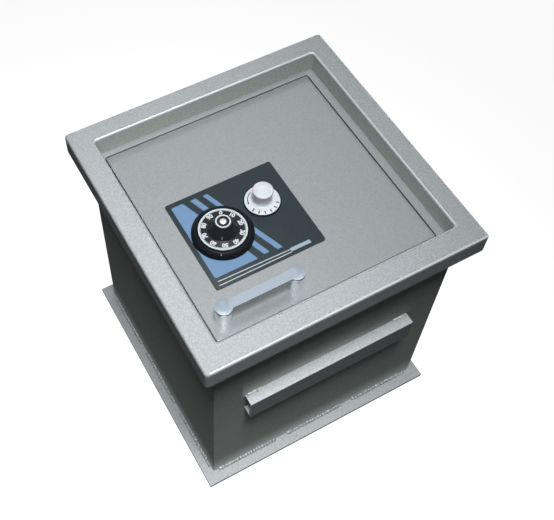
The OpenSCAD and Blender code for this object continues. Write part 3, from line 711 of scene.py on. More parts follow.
class Bench:
    """Modelling steps that the sub-assemblies share."""

    MERGE: ClassVar[float] = 0.001
    SMOOTH_DEG: ClassVar[float] = 32.0
    CORNER_STEPS: ClassVar[int] = 8
    TRIM_CORNER_STEPS: ClassVar[int] = 5
    EDGE_STEPS: ClassVar[int] = 3
    TRIM_MARGIN: ClassVar[float] = 4

    @staticmethod
    def ready() -> None:
        """Leave edit mode and deselect everything."""
        if bpy.context.object is not None and bpy.context.object.mode != "OBJECT":
            bpy.ops.object.mode_set(mode="OBJECT")
        bpy.ops.object.select_all(action="DESELECT")

    @classmethod
    def hold(cls, *objects: Object) -> None:
        """Select these objects alone, the first one active.

        Args:
            *objects: the objects.
        """
        cls.ready()
        for obj in objects:
            obj.select_set(True)
        bpy.context.view_layer.objects.active = objects[0]

    @staticmethod
    def settle(name: str) -> Object:
        """Name the active object and put its place in its mesh.

        Args:
            name: its name.

        Returns:
            The object.
        """
        obj = bpy.context.object
        obj.name = obj.data.name = name
        bpy.ops.object.transform_apply(location=True, rotation=True, scale=True)
        return obj

    @staticmethod
    def whole() -> None:
        """Select the whole mesh."""
        bpy.ops.mesh.select_all(action="SELECT")

    @classmethod
    def edit(cls) -> None:
        """Go into edit mode with everything selected, by vertices."""
        bpy.ops.object.mode_set(mode="EDIT")
        bpy.ops.mesh.select_mode(type="VERT")
        cls.whole()

    @classmethod
    def merge(cls) -> None:
        """Merge doubles."""
        bpy.ops.mesh.remove_doubles(threshold=cls.MERGE * MM)

    @classmethod
    def tidy(cls, smooth_deg: float = SMOOTH_DEG) -> None:
        """Merge doubles, point every face outwards, leave edit mode and shade by angle.

        Args:
            smooth_deg: the sharpest turn that still shades smooth.
        """
        cls.whole()
        cls.merge()
        bpy.ops.mesh.normals_make_consistent(inside=False)
        bpy.ops.object.mode_set(mode="OBJECT")
        bpy.ops.object.shade_smooth_by_angle(angle=math.radians(smooth_deg))

    @staticmethod
    def pick(obj: Object, wanted: Callable[[Vector], bool]) -> None:
        """Go into edit mode with some vertices selected.

        Args:
            obj: the active object.
            wanted: true for the points, in millimetres, that are selected.
        """
        bpy.ops.object.mode_set(mode="EDIT")
        bpy.ops.mesh.select_mode(type="VERT")
        bpy.ops.mesh.select_all(action="DESELECT")
        bpy.ops.object.mode_set(mode="OBJECT")
        for vertex in obj.data.vertices:
            vertex.select = bool(wanted(vertex.co / MM))
        bpy.ops.object.mode_set(mode="EDIT")

    @staticmethod
    def extrude(x: float, y: float, z: float) -> None:
        """Extrude what is selected."""
        bpy.ops.mesh.extrude_region_move(TRANSFORM_OT_translate={"value": metres(x, y, z)})

    @staticmethod
    def bevel(width: float, segments: int, affect: str) -> None:
        """Bevel the selected vertices or edges."""
        bpy.ops.mesh.bevel(offset=width * MM, segments=segments, affect=affect)

    @staticmethod
    def spin(centre: Spot, steps: int, sweep_deg: float, copies: bool = False) -> None:
        """Spin what is selected clockwise about an upright axis.

        Args:
            centre: where the axis stands.
            steps: how many steps it takes.
            sweep_deg: how far it goes.
            copies: whether each step leaves a copy in place of a skin.
        """
        bpy.ops.mesh.spin(
            steps=steps, dupli=copies, angle=math.radians(sweep_deg),
            center=metres(*centre, 0), axis=(0, 0, 1))

    @staticmethod
    def apply(obj: Object, kind: str, **settings: object) -> None:
        """Finish the active object with one modifier.

        Args:
            obj: the active object.
            kind: the modifier's kind.
            **settings: its settings.
        """
        modifier = obj.modifiers.new(kind.lower(), kind)
        for name, value in settings.items():
            setattr(modifier, name, value)
        bpy.ops.object.modifier_apply(modifier=modifier.name)

    @classmethod
    def turned(cls, name: str, centre: Spot, outline: Outline, steps: int,
               start_deg: float = 0.0, sweep_deg: float = 360.0) -> Object:
        """Turn an outline about an upright axis, as on a lathe.

        Args:
            name: the piece's name.
            centre: where the axis stands.
            outline: (radius, height) points; off the axis, the last is joined to the first.
            steps: how many facets go round.
            start_deg: where a part turn starts.
            sweep_deg: how far it goes, clockwise from above.

        Returns:
            The closed piece.
        """
        cls.ready()
        points = list(outline)
        if points[0][0] > 0 or points[-1][0] > 0:
            points.append(points[0])
        radius, height = points[0]
        first = metres(*around(centre, radius, start_deg), height)
        bpy.ops.mesh.primitive_plane_add(size=MM, location=first)
        obj = cls.settle(name)
        cls.edit()
        bpy.ops.mesh.merge(type="CENTER")
        for (ra, za), (rb, zb) in zip(points, points[1:]):
            step = metres(*around((0, 0), rb - ra, start_deg), zb - za)
            bpy.ops.mesh.extrude_vertices_move(TRANSFORM_OT_translate={"value": step})
        cls.whole()
        if sweep_deg < 360:
            cls.merge()
            bpy.ops.mesh.edge_face_add()
        cls.spin(centre, steps, sweep_deg)
        cls.tidy()
        return obj

    @classmethod
    def slab(cls, name: str, corners: Box, low: float, high: float, corner: float,
             edge: float) -> Object:
        """A flat plate with round corners and a softened top edge.

        Args:
            name: the piece's name.
            corners: lowest x and y, then highest x and y.
            low: height of its underside.
            high: height of its top.
            corner: radius of its corners, seen from above.
            edge: width of the softened edge.

        Returns:
            The closed piece.
        """
        cls.ready()
        x0, y0, x1, y1 = corners
        middle = metres((x0 + x1) / 2, (y0 + y1) / 2, low)
        bpy.ops.mesh.primitive_plane_add(size=1, location=middle)
        bpy.context.object.scale = (*metres(x1 - x0, y1 - y0), 1)
        obj = cls.settle(name)
        cls.edit()
        cls.bevel(corner, cls.CORNER_STEPS, "VERTICES")
        cls.whole()
        cls.extrude(0, 0, high - low)
        cls.bevel(edge, cls.EDGE_STEPS, "EDGES")
        cls.tidy()
        return obj

    @classmethod
    def trimmed(cls, name: str, outline: Outline, low: float, high: float,
                corner: float = 0.0) -> Object:
        """A sheet cut to an outline that bulges everywhere, then given its thickness.

        Args:
            name: the piece's name.
            outline: its corners, anticlockwise from above.
            low: height of its underside.
            high: height of its top.
            corner: radius of its corners.

        Returns:
            The closed piece.
        """
        cls.ready()
        sides = [[point[k] for point in outline] for k in (0, 1)]
        across = max(max(side) - min(side) for side in sides) + cls.TRIM_MARGIN
        middle = metres(*(sum(side) / len(outline) for side in sides), low)
        bpy.ops.mesh.primitive_plane_add(size=2 * across * MM, location=middle)
        obj = cls.settle(name)
        cls.edit()
        for (ax, ay), (bx, by) in zip(outline, [*outline[1:], outline[0]]):
            side = math.hypot(bx - ax, by - ay)
            outwards = ((by - ay) / side, (ax - bx) / side, 0)
            cls.whole()
            bpy.ops.mesh.bisect(
                plane_co=metres(ax, ay, low), plane_no=outwards, clear_outer=True)
        cls.whole()
        if corner:
            cls.bevel(corner, cls.TRIM_CORNER_STEPS, "VERTICES")
            cls.whole()
        cls.extrude(0, 0, high - low)
        cls.tidy()
        return obj

    @classmethod
    def bar(cls, name: str, centre: Spot, aim_deg: float, mark: Mark) -> Object:
        """One mark.

        Args:
            name: the piece's name.
            centre: where the axis stands.
            aim_deg: its direction from the axis.
            mark: its sizes.

        Returns:
            The closed piece.
        """
        cls.ready()
        bpy.ops.mesh.primitive_plane_add(size=1)
        bpy.context.object.scale = (*metres(mark.length, mark.width), 1)
        obj = cls.settle(name)
        cls.edit()
        bpy.ops.transform.translate(value=metres(0, 0, -mark.thick))
        cls.extrude(0, 0, 2 * mark.thick)
        cls.bevel(mark.soft_share * mark.thick, 1, "EDGES")
        cls.tidy()
        obj.rotation_euler = (0, math.radians(mark.slope_deg), math.radians(aim_deg))
        obj.location = metres(*around(centre, mark.radius, aim_deg), mark.height)
        return cls.settle(name)

    @classmethod
    def bead(cls, name: str, start: Place, length: float, leg: float) -> Object:
        """A bead of weld along X, in the corner between a floor and a wall on its +Y side.

        Args:
            name: the piece's name.
            start: the corner's point at the bead's low end.
            length: how far it runs.
            leg: how far it stands out on the floor and up the wall.

        Returns:
            The closed piece.
        """
        cls.ready()
        ripple = Ripple()
        count = int(length / ripple.pitch)
        size = ripple.start
        bpy.ops.mesh.primitive_circle_add(
            vertices=ripple.facets, radius=size * leg * MM, fill_type="NGON",
            location=metres(*start), rotation=(0, math.pi / 2, 0))
        obj = cls.settle(name)
        cls.edit()
        for k in range(1, count + 1):
            wanted = ripple.size(k, count)
            cls.extrude(length / count, 0, 0)
            bpy.ops.transform.resize(
                value=(1, wanted / size, wanted / size),
                center_override=metres(start[0] + k * length / count, *start[1:]))
            size = wanted
        for normal in ((0, 1, 0), (0, 0, -1)):
            cls.whole()
            bpy.ops.mesh.bisect(
                plane_co=metres(*start), plane_no=normal, clear_outer=True, use_fill=True)
        cls.tidy(ripple.smooth_deg)
        return obj

    @classmethod
    def copied(cls, source: Object, name: str, turn_deg: float, move: Place) -> Object:
        """A copy with its own mesh, turned about the safe's middle and then moved.

        Args:
            source: the piece that is copied.
            name: the copy's name.
            turn_deg: its turn, anticlockwise from above.
            move: its move.

        Returns:
            The copy.
        """
        cls.hold(source)
        bpy.ops.object.duplicate()
        twin = bpy.context.object
        twin.rotation_euler = (0, 0, math.radians(turn_deg))
        twin.location = metres(*move)
        return cls.settle(name)

    @classmethod
    def joined(cls, name: str, parts: Sequence[Object]) -> Object:
        """Several pieces made one object.

        Args:
            name: its name.
            parts: the pieces.

        Returns:
            The object.
        """
        cls.hold(*parts)
        bpy.ops.object.join()
        return cls.settle(name)

    @classmethod
    def numeral(cls, name: str, text: str, at: Place, turn_deg: float, tall: float) -> Object:
        """A printed number, made a mesh before it is put in its place.

        Args:
            name: the piece's name.
            text: the number.
            at: where its middle goes, on the surface under it.
            turn_deg: its turn, seen from above.
            tall: height of a digit.

        Returns:
            The closed piece.
        """
        cls.ready()
        digits = Digits()
        bpy.ops.object.text_add()
        label = bpy.context.object.data
        label.body = text
        label.size = tall * digits.size * MM
        label.extrude = digits.thick * MM
        label.offset = digits.swell * tall * MM
        label.space_character = digits.spacing
        label.resolution_u = digits.curve_steps
        bpy.ops.object.convert(target="MESH")
        obj = bpy.context.object
        sides = [[vertex.co[k] for vertex in obj.data.vertices] for k in (0, 1)]
        cls.edit()
        bpy.ops.transform.translate(
            value=(*(-(min(side) + max(side)) / 2 for side in sides), 0))
        bpy.ops.object.mode_set(mode="OBJECT")
        obj.rotation_euler = (0, 0, math.radians(turn_deg))
        obj.location = metres(*at)
        return cls.settle(name)


class Fitter:
    """Puts finishes on the frame's solids and puts new pieces on their bodies."""

    @staticmethod
    def fit(piece: Object, body: Body, slot: Slot, finish: Finish, *stands_for: str) -> None:
        """Give a new piece its finish and its body, and hide the solids that it stands for.

        Args:
            piece: the new piece.
            body: the body it rides on.
            slot: the record's slot of its finish; not used.
            finish: what it is covered with.
            *stands_for: names of the solids that it replaces.
        """
        piece.data.materials.clear()
        piece.data.materials.append(Palette.material(finish))
        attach(piece, body.value)
        if stands_for:
            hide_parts(*stands_for)
        faces = len(piece.data.polygons)
        LOG.info("%s on %s, %s, %d faces", piece.name, body.value, finish.name, faces)

    @staticmethod
    def dress(finish: Finish, *nodes: str) -> None:
        """Put a finish on solids of the frame.

        Args:
            finish: the finish.
            *nodes: names of the solids.
        """
        for name in nodes:
            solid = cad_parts[name]
            for entry in solid.material_slots:
                entry.material = Palette.material(finish)
            if not solid.material_slots:
                solid.data.materials.append(Palette.material(finish))
            LOG.info("%s dressed in %s", name, finish.name)


# Sub-assemblies


@dataclass
class SafeBody:
    """Welded box, pressed top frame, base plate and the channel that keys it into the floor."""

    body: Spot = (354.0, 352.0)
    floor: float = 6.0
    foot_leg: float = 4.0
    foot_run: float = 100.0
    foot_inset: float = 8.0
    channel_top: float = 236.0
    channel_ends: Spot = (-128.0, 103.0)
    channel_leg: float = 3.4
    channel_run: float = 22.0

    def foot_beads(self) -> Object:
        """Twelve stitches of weld, three on each side of the body.

        Returns:
            The stitches.
        """
        wide, deep = self.body[0] / 2, self.body[1] / 2
        start = (-self.foot_run / 2, -deep, self.floor)
        first = Bench.bead("foot_bead", start, self.foot_run, self.foot_leg)
        beads = [first]
        for side in range(4):
            along, out = (wide, 0.0) if side % 2 == 0 else (deep, wide - deep)
            sine, cosine = math.sin(math.radians(90 * side)), math.cos(math.radians(90 * side))
            for k in (-1, 0, 1):
                if side == 0 and k == 0:
                    continue
                run = k * (along - self.foot_run / 2 - self.foot_inset)
                move = (run * cosine + out * sine, run * sine - out * cosine, 0)
                beads.append(Bench.copied(first, "foot_bead", 90 * side, move))
        return Bench.joined("foot_weld_beads", beads)

    def channel_beads(self) -> Object:
        """The two stitches that hold the channel's upper flange.

        Returns:
            The stitches.
        """
        left, right = self.channel_ends
        start = (left, -self.body[1] / 2, self.channel_top)
        first = Bench.bead("channel_bead", start, self.channel_run, self.channel_leg)
        twin = Bench.copied(first, "channel_bead", 0, (right - left, 0, 0))
        return Bench.joined("channel_weld_beads", [first, twin])

    def build(self) -> None:
        """Model the welds and dress the plate work."""
        Fitter.fit(self.foot_beads(), Body.SAFE, Slot.WELD, Palette.WELD, "foot_welds")
        Fitter.fit(
            self.channel_beads(), Body.SAFE, Slot.WELD, Palette.BRIGHT_WELD, "channel_welds")
        Fitter.dress(Palette.FRAME_PAINT, "top_frame")
        Fitter.dress(Palette.LEDGE_PAINT, "door_ledge")
        Fitter.dress(Palette.BODY_PAINT, "body_shell")
        Fitter.dress(Palette.PAINT, "base_plate")
        Fitter.dress(Palette.CHANNEL_PAINT, "anchor_channel")
        Fitter.dress(Palette.INNER_PAINT, "door_seat")
        Fitter.dress(Palette.DARK_STEEL, "hinge_pins")


@dataclass(frozen=True)
class Print:
    """One printed shape of the lock plate."""

    name: str
    outline: Outline
    ink: Finish
    corner: float = 0.0


@dataclass
class LockPlate:
    """Charcoal plate under the dial and the knob, with slanting blue bands and two fine lines."""

    corners: Box = (-127.3, -92.5, 30.7, 50.5)
    low: float = 380.0
    top: float = 381.5
    corner: float = 3.0
    edge: float = 0.35
    ink_depth: float = 0.02
    ink_height: float = 0.10
    prints: Tuple[Print, ...] = (
        Print("print_field", ((-121.0, 43.3), (-121.0, -76.5), (-59.5, -76.5), (-104.0, 43.3)),
              Palette.PLATE_BLUE, 2.5),
        Print("print_near_band", ((-93.8, 42.8), (-49.5, -74.5), (-41.8, -74.5), (-85.5, 42.8)),
              Palette.PLATE_BLUE, 1.2),
        Print("print_far_band", ((-75.5, 42.0), (-31.3, -76.0), (-23.4, -76.0), (-68.7, 42.0)),
              Palette.PLATE_BLUE, 1.2),
        Print("print_upper_line",
              ((-120.0, -82.7), (-17.0, -84.7), (-17.0, -83.4), (-120.0, -81.4)),
              Palette.PLATE_LINE),
        Print("print_lower_line",
              ((-121.0, -88.6), (-17.0, -88.6), (-17.0, -87.3), (-121.0, -87.3)),
              Palette.PLATE_LINE),
        Print("print_end_band", ((-17.0, -87.5), (11.8, -87.5), (11.8, -82.3), (-17.0, -82.3)),
              Palette.PLATE_GREY),
    )

    def build(self) -> None:
        """Model the plate and its print."""
        sheet = Bench.slab(
            "lock_plate_sheet", self.corners, self.low, self.top, self.corner, self.edge)
        Fitter.fit(sheet, Body.DOOR, Slot.PRINT, Palette.PLATE_DARK, "lock_plate")
        low, high = self.top - self.ink_depth, self.top + self.ink_height
        for shape in self.prints:
            piece = Bench.trimmed(shape.name, shape.outline, low, high, shape.corner)
            Fitter.fit(piece, Body.DOOR, Slot.PRINT, shape.ink)


@dataclass
class CombinationDial:
    """Black dial with a tapered grip, ten numbers and a hundred divisions, in its black ring."""

    centre: Spot = (-80.5, -22.5)
    facets: int = 144
    plate_top: float = 381.5
    ring_profile: Outline = (
        (6.0, 0), (40.4, 0), (40.7, 0.3), (40.7, 3.7), (40.35, 4.5), (38.2, 7.0), (35.9, 9.35),
        (35.1, 9.7), (33.5, 9.7), (33.2, 9.4), (33.2, 2), (6.0, 2),
    )
    face: float = 392.0
    disc_profile: Outline = (
        (0.0, -8.1), (8.0, -8.1), (8.0, -3), (32.6, -3), (32.6, -0.7), (32.3, -0.2), (31.8, 0),
        (20.0, 0), (19.3, 0.35),
    )
    scale_profile: Outline = ((29.8, -0.02), (31.6, -0.02), (31.6, 0.12), (29.8, 0.12))
    grip_foot_r: float = 19.5
    grip_top_r: float = 11.2
    grip_shoulder: float = 0.8
    flank_rises: Tuple[float, ...] = (1.2, 4.0, 7.0, 10.0, 13.0, 15.0)
    top: float = 409.5
    crown_profile: Outline = (
        (11.2, -0.6), (10.7, -0.1), (10.2, 0), (7.8, 0), (7.6, -0.9), (5.3, -0.9),
        (5.1, -0.05), (4.65, -0.05), (4.65, -2.05), (0.0, -2.05),
    )
    rim_profile: Outline = ((8.0, -0.02), (10.0, -0.02), (9.9, 0.12), (8.1, 0.12))
    rim_facets: int = 96
    cap_profile: Outline = (
        (0.0, -2.0), (4.5, -2.0), (4.5, -0.2), (4.1, 0.25), (3.2, 0.6), (1.8, 0.8), (0.0, 0.86),
    )
    cap_facets: int = 48
    flutes: int = 24
    flute_rises: Spot = (3.0, 16.0)
    flute_inner_r: float = 10.0
    flute_scale: float = 0.962
    flute_smooth_deg: float = 40.0
    label_r: float = 24.9
    label_tall: float = 5.8
    fifty_deg: float = 247.7
    divisions: int = 100
    division: Mark = Mark(29.2, 392.0, 1.8, 1.15, 0.11)
    index_deg: float = 238.0
    index: Mark = Mark(37.2, 389.55, 2.8, 1.2, 0.14, 46)
    tick: Mark = Mark(17.2, 396.6, 5.0, 0.9, 0.12, 63.6)

    def turned(self, name: str, profile: Outline, height: float, steps: int) -> Object:
        """Turn a profile about the dial's axis."""
        return Bench.turned(name, self.centre, raised(profile, height), steps)

    def body(self) -> Object:
        """Disc and fluted grip in one moulding.

        Returns:
            The closed piece.
        """
        tall = self.top - self.grip_shoulder - self.face
        slope = (self.grip_foot_r - self.grip_top_r) / tall
        flank = [(self.grip_foot_r - slope * h, self.face + h) for h in self.flank_rises]
        outline = [
            *raised(self.disc_profile, self.face), *flank, *raised(self.crown_profile, self.top)]
        piece = Bench.turned("dial_body", self.centre, outline, self.facets)
        low, high = (self.face + rise for rise in self.flute_rises)

        def in_flute(point: Vector) -> bool:
            """True on the lines of the grip's flank that a flute follows.

            Args:
                point: the point.

            Returns:
                Whether it goes inwards.
            """
            x, y = point[0] - self.centre[0], point[1] - self.centre[1]
            line = round(math.degrees(math.atan2(y, x)) * self.facets / 360)
            on_flank = low < point[2] < high and math.hypot(x, y) > self.flute_inner_r
            return line % (self.facets // self.flutes) == 0 and on_flank

        Bench.pick(piece, in_flute)
        bpy.ops.transform.resize(
            value=(self.flute_scale, self.flute_scale, 1),
            center_override=metres(*self.centre, self.face))
        bpy.ops.object.mode_set(mode="OBJECT")
        bpy.ops.object.shade_smooth_by_angle(angle=math.radians(self.flute_smooth_deg))
        return piece

    def scale(self) -> Object:
        """White line round the disc and the hundred divisions that reach in from it.

        Returns:
            The line and the divisions.
        """
        line = self.turned("dial_scale_line", self.scale_profile, self.face, self.facets)
        marks = Bench.bar("dial_marks", self.centre, self.fifty_deg, self.division)
        Bench.edit()
        copies = self.divisions - 1
        Bench.spin(self.centre, copies, 360 * copies / self.divisions, copies=True)
        Bench.tidy()
        return Bench.joined("dial_scale", [line, marks])

    def numbers(self) -> Object:
        """The ten numbers, their feet towards the middle, rising clockwise.

        Returns:
            The numbers.
        """
        labels = []
        for k in range(10):
            aim = self.fifty_deg + 36 * k
            at = (*around(self.centre, self.label_r, aim), self.face)
            text = str((50 - 10 * k) % 100)
            labels.append(Bench.numeral("dial_number", text, at, aim - 90, self.label_tall))
        return Bench.joined("dial_numbers", labels)

    def build(self) -> None:
        """Model the ring, the dial and their marks."""
        ring = self.turned("dial_ring_body", self.ring_profile, self.plate_top, self.facets)
        Fitter.fit(ring, Body.DOOR, Slot.DARK, Palette.RING_BLACK, "dial_ring")
        Fitter.fit(self.body(), Body.DIAL, Slot.DARK, Palette.DIAL_BLACK, "dial")
        Fitter.fit(self.scale(), Body.DIAL, Slot.WHITE, Palette.DIAL_INK)
        Fitter.fit(self.numbers(), Body.DIAL, Slot.WHITE, Palette.DIAL_INK)
        rim = self.turned("dial_top_ring", self.rim_profile, self.top, self.rim_facets)
        Fitter.fit(rim, Body.DIAL, Slot.WHITE, Palette.DIAL_INK)
        cap = self.turned("dial_cap_dome", self.cap_profile, self.top, self.cap_facets)
        Fitter.fit(cap, Body.DIAL, Slot.CHROME, Palette.CAP_SILVER, "dial_cap")
        tick = Bench.bar("grip_tick", self.centre, self.index_deg - 1, self.tick)
        Fitter.fit(tick, Body.DIAL, Slot.WHITE, Palette.TICK_INK)
        index = Bench.bar("ring_index", self.centre, self.index_deg, self.index)
        Fitter.fit(index, Body.DOOR, Slot.WHITE, Palette.TICK_INK)
        Fitter.dress(Palette.DRAWN_STEEL, "ring_screws", "spindle", "cam_nut")
        Fitter.dress(Palette.TURNED_BRASS, "spindle_tube", "drive_cam")


@dataclass
class OpenKnob:
    """White knob with a wide skirt on a thin black bezel; its marks show which way it turns."""

    centre: Spot = (-11.0, -2.5)
    facets: int = 128
    plate_top: float = 381.5
    bezel_profile: Outline = (
        (6.0, 0), (25.0, 0), (25.0, 0.9), (24.7, 1.2), (24.3, 1.3), (6.0, 1.3))
    skirt_low: float = 383.2
    skirt_profile: Outline = ((0.0, 0), (23.2, 0), (23.6, 0.4), (23.6, 0.95), (23.3, 1.22))
    skirt_rim: float = 384.4
    skirt_r: float = 23.6
    foot: float = 385.6
    neck_r: float = 11.5
    flare: float = 4.0
    flare_degs: Tuple[float, ...] = (0, 15, 30, 45, 60, 75, 88)
    lip: float = 403.5
    lip_profile: Outline = ((13.25, -0.75), (13.6, -0.35), (13.75, 0.2))
    crown_centre_r: float = 11.75
    crown: float = 2.0
    crown_degs: Tuple[float, ...] = (0, 15, 30, 45, 60, 75, 90)
    top: float = 407.0
    seat_profile: Outline = ((9.6, 0), (9.5, -1.2), (0.0, -1.2))
    cap_profile: Outline = (
        (0.0, -1.2), (9.45, -1.2), (9.45, -0.03), (9.25, 0.06), (7.0, 0.24), (3.5, 0.33),
        (0.0, 0.36),
    )
    cap_facets: int = 96
    mark_r: float = 20.2
    mark_size: Tuple[float, float, float] = (4.4, 1.7, 0.12)
    mark_degs: Tuple[float, ...] = (205, 228, 251, 274, 297, 320)
    arc_degs: Spot = (112, 166)
    arc_radii: Spot = (18.6, 19.7)
    arc_rises: Spot = (-0.1, 0.12)
    arc_facets: int = 20
    arrow_r: float = 19.15
    arrow_half: float = 1.5
    arrow_length: float = 3.4
    arrow_rises: Spot = (-0.3, 0.2)

    @property
    def fall(self) -> float:
        """How steeply the skirt falls outwards."""
        return (self.foot - self.skirt_rim) / (self.skirt_r - self.neck_r - self.flare)

    def skirt_height(self, radius: float) -> float:
        """Height of the skirt's slope at a radius."""
        return self.skirt_rim + (self.skirt_r - radius) * self.fall

    def turned(self, name: str, profile: Outline, height: float, steps: int) -> Object:
        """Turn a profile about the knob's axis."""
        return Bench.turned(name, self.centre, raised(profile, height), steps)

    def body(self) -> Object:
        """Skirt, hollowed neck and mushroom grip in one moulding, with a seat for the cap.

        Returns:
            The closed piece.
        """
        hollow = (self.neck_r + self.flare, self.foot + self.flare)
        shoulder = (self.crown_centre_r, self.top - self.crown)
        outline = [
            *raised(self.skirt_profile, self.skirt_low),
            *(around(hollow, -self.flare, 90 - aim) for aim in self.flare_degs),
            *raised(self.lip_profile, self.lip),
            *(around(shoulder, self.crown, aim) for aim in self.crown_degs),
            *raised(self.seat_profile, self.top),
        ]
        return Bench.turned("knob_body", self.centre, outline, self.facets)

    def marks(self) -> Object:
        """Six radial marks and an arc with an arrowhead.

        Returns:
            The marks.
        """
        slope_deg = math.degrees(math.atan(self.fall))
        mark = Mark(self.mark_r, self.skirt_height(self.mark_r), *self.mark_size, slope_deg)
        parts = [Bench.bar("knob_mark", self.centre, aim, mark) for aim in self.mark_degs]
        (inner, outer), (below, above) = self.arc_radii, self.arc_rises
        outline = [
            (radius, self.skirt_height(radius) + rise)
            for radius, rise in ((inner, below), (outer, below), (outer, above), (inner, above))
        ]
        first, last = self.arc_degs
        arc = Bench.turned(
            "knob_arc", self.centre, outline, self.arc_facets, last, last - first)
        parts.append(arc)
        parts.append(self.arrowhead(last))
        return Bench.joined("knob_marks", parts)

    def arrowhead(self, aim_deg: float) -> Object:
        """Small triangle that leads the arc anticlockwise.

        Args:
            aim_deg: direction of its foot from the axis.

        Returns:
            The closed piece.
        """
        left, middle, right = (
            around(self.centre, self.arrow_r + step, aim_deg)
            for step in (-self.arrow_half, 0, self.arrow_half)
        )
        tip = around(middle, self.arrow_length, aim_deg + 90)
        low, high = (self.skirt_height(self.arrow_r) + rise for rise in self.arrow_rises)
        return Bench.trimmed("knob_arrow", (left, right, tip), low, high)

    def build(self) -> None:
        """Model the knob, its bezel and its marks."""
        Fitter.fit(self.body(), Body.KNOB, Slot.WHITE, Palette.KNOB_WHITE, "open_knob")
        cap = self.turned("knob_top_cap", self.cap_profile, self.top, self.cap_facets)
        Fitter.fit(cap, Body.KNOB, Slot.WHITE, Palette.KNOB_WHITE, "knob_cap")
        Fitter.fit(self.marks(), Body.KNOB, Slot.DARK, Palette.KNOB_INK)
        bezel = self.turned(
            "knob_bezel_ring", self.bezel_profile, self.plate_top, self.facets)
        Fitter.fit(bezel, Body.DOOR, Slot.DARK, Palette.RING_BLACK, "knob_bezel")
        Fitter.dress(Palette.TURNED_BRASS, "knob_bush")
        Fitter.dress(Palette.DRAWN_STEEL, "knob_shaft", "crank", "drive_pin", "cross_pin")


@dataclass
class PullHandle:
    """Flat bar with round ends on two round posts, which have a fine groove under the bar."""

    spots: Tuple[Spot, Spot] = ((-138.75, -130.0), (-38.25, -130.0))
    facets: int = 96
    foot: float = 380.0
    foot_profile: Outline = ((0.0, 0), (9.85, 0), (10.25, 0.4))
    bar_low: float = 406.0
    neck_profile: Outline = (
        (10.25, -1.8), (9.9, -1.5), (9.9, -1.1), (10.25, -0.8), (10.25, -0.3), (9.95, 0), (0.0, 0))
    top: float = 410.0
    end_r: float = 11.2
    bar_width: float = 13.0
    soft_edge: float = 0.7
    soft_steps: int = 3
    soft_from_deg: float = 50.0
    smooth_deg: float = 30.0

    def strap(self) -> Object:
        """The bar: two discs and the strip between them, united, with softened edges.

        Returns:
            The closed piece.
        """
        Bench.ready()
        (x0, y), (x1, _) = self.spots
        middle, thick = (self.bar_low + self.top) / 2, self.top - self.bar_low
        bpy.ops.mesh.primitive_cube_add(size=1, location=metres((x0 + x1) / 2, y, middle))
        bpy.context.object.scale = metres(x1 - x0, self.bar_width, thick)
        strip = Bench.settle("handle_strap")
        for x in (x0, x1):
            Bench.ready()
            bpy.ops.mesh.primitive_cylinder_add(
                vertices=self.facets, radius=self.end_r * MM, depth=thick * MM,
                location=metres(x, y, middle))
            end = Bench.settle("handle_end")
            Bench.hold(strip)
            Bench.apply(strip, "BOOLEAN", operation="UNION", object=end)
            bpy.data.objects.remove(end, do_unlink=True)
        Bench.apply(
            strip, "BEVEL", width=self.soft_edge * MM, segments=self.soft_steps,
            limit_method="ANGLE", angle_limit=math.radians(self.soft_from_deg))
        Bench.edit()
        Bench.tidy(self.smooth_deg)
        return strip

    def build(self) -> None:
        """Model the bar and its posts."""
        Fitter.fit(self.strap(), Body.DOOR, Slot.CHROME, Palette.SATIN_BAR, "handle_bar")
        outline = [*raised(self.foot_profile, self.foot), *raised(self.neck_profile, self.bar_low)]
        posts = [Bench.turned("handle_post", spot, outline, self.facets) for spot in self.spots]
        pair = Bench.joined("handle_post_pair", posts)
        Fitter.fit(pair, Body.DOOR, Slot.CHROME, Palette.POLISHED_POST, "handle_posts")
        Fitter.dress(Palette.DRAWN_STEEL, "handle_screws")


@dataclass
class DoorLeaf:
    """The door plate, and on its underside the combination lock and the bolt work."""

    plate: Tuple[str, ...] = ("door_plate",)
    lock_case: Tuple[str, ...] = ("lock_case", "lock_cover")
    lock_brass: Tuple[str, ...] = (
        "wheel_post", "wheel_spacers", "wheel_1", "wheel_2", "wheel_3", "lock_bolt")
    lock_steel: Tuple[str, ...] = ("lock_screws", "post_clip", "lock_lever", "lever_screw")
    bolt_zinc: Tuple[str, ...] = ("bolt_guides", "bolt_carrier", "bolt_bar", "stop_tab")
    bolt_steel: Tuple[str, ...] = ("locking_bolts", "bolt_screws", "carrier_screws")

    def build(self) -> None:
        """Dress the door and what it carries inside."""
        Fitter.dress(Palette.DOOR_PAINT, *self.plate)
        Fitter.dress(Palette.DIE_CAST, *self.lock_case)
        Fitter.dress(Palette.TURNED_BRASS, *self.lock_brass)
        Fitter.dress(Palette.DRAWN_STEEL, *self.lock_steel, *self.bolt_steel)
        Fitter.dress(Palette.ZINC_PLATE, *self.bolt_zinc)


# Studio, in metres


@dataclass(frozen=True)
class Lamp:
    """A square lamp with a grid, turned to its aim."""

    name: str
    at: Place
    aim: Place
    side: float
    spread_deg: float
    watts: float

    def hang(self) -> None:
        """Hang the lamp."""
        Bench.ready()
        bpy.ops.object.light_add(type="AREA", location=self.at)
        lamp = bpy.context.object
        lamp.name = self.name
        lamp.data.shape = "SQUARE"
        lamp.data.size = self.side
        lamp.data.energy = self.watts
        lamp.data.spread = math.radians(self.spread_deg)
        way = Vector(self.aim) - Vector(self.at)
        lamp.rotation_euler = way.to_track_quat("-Z", "Y").to_euler()


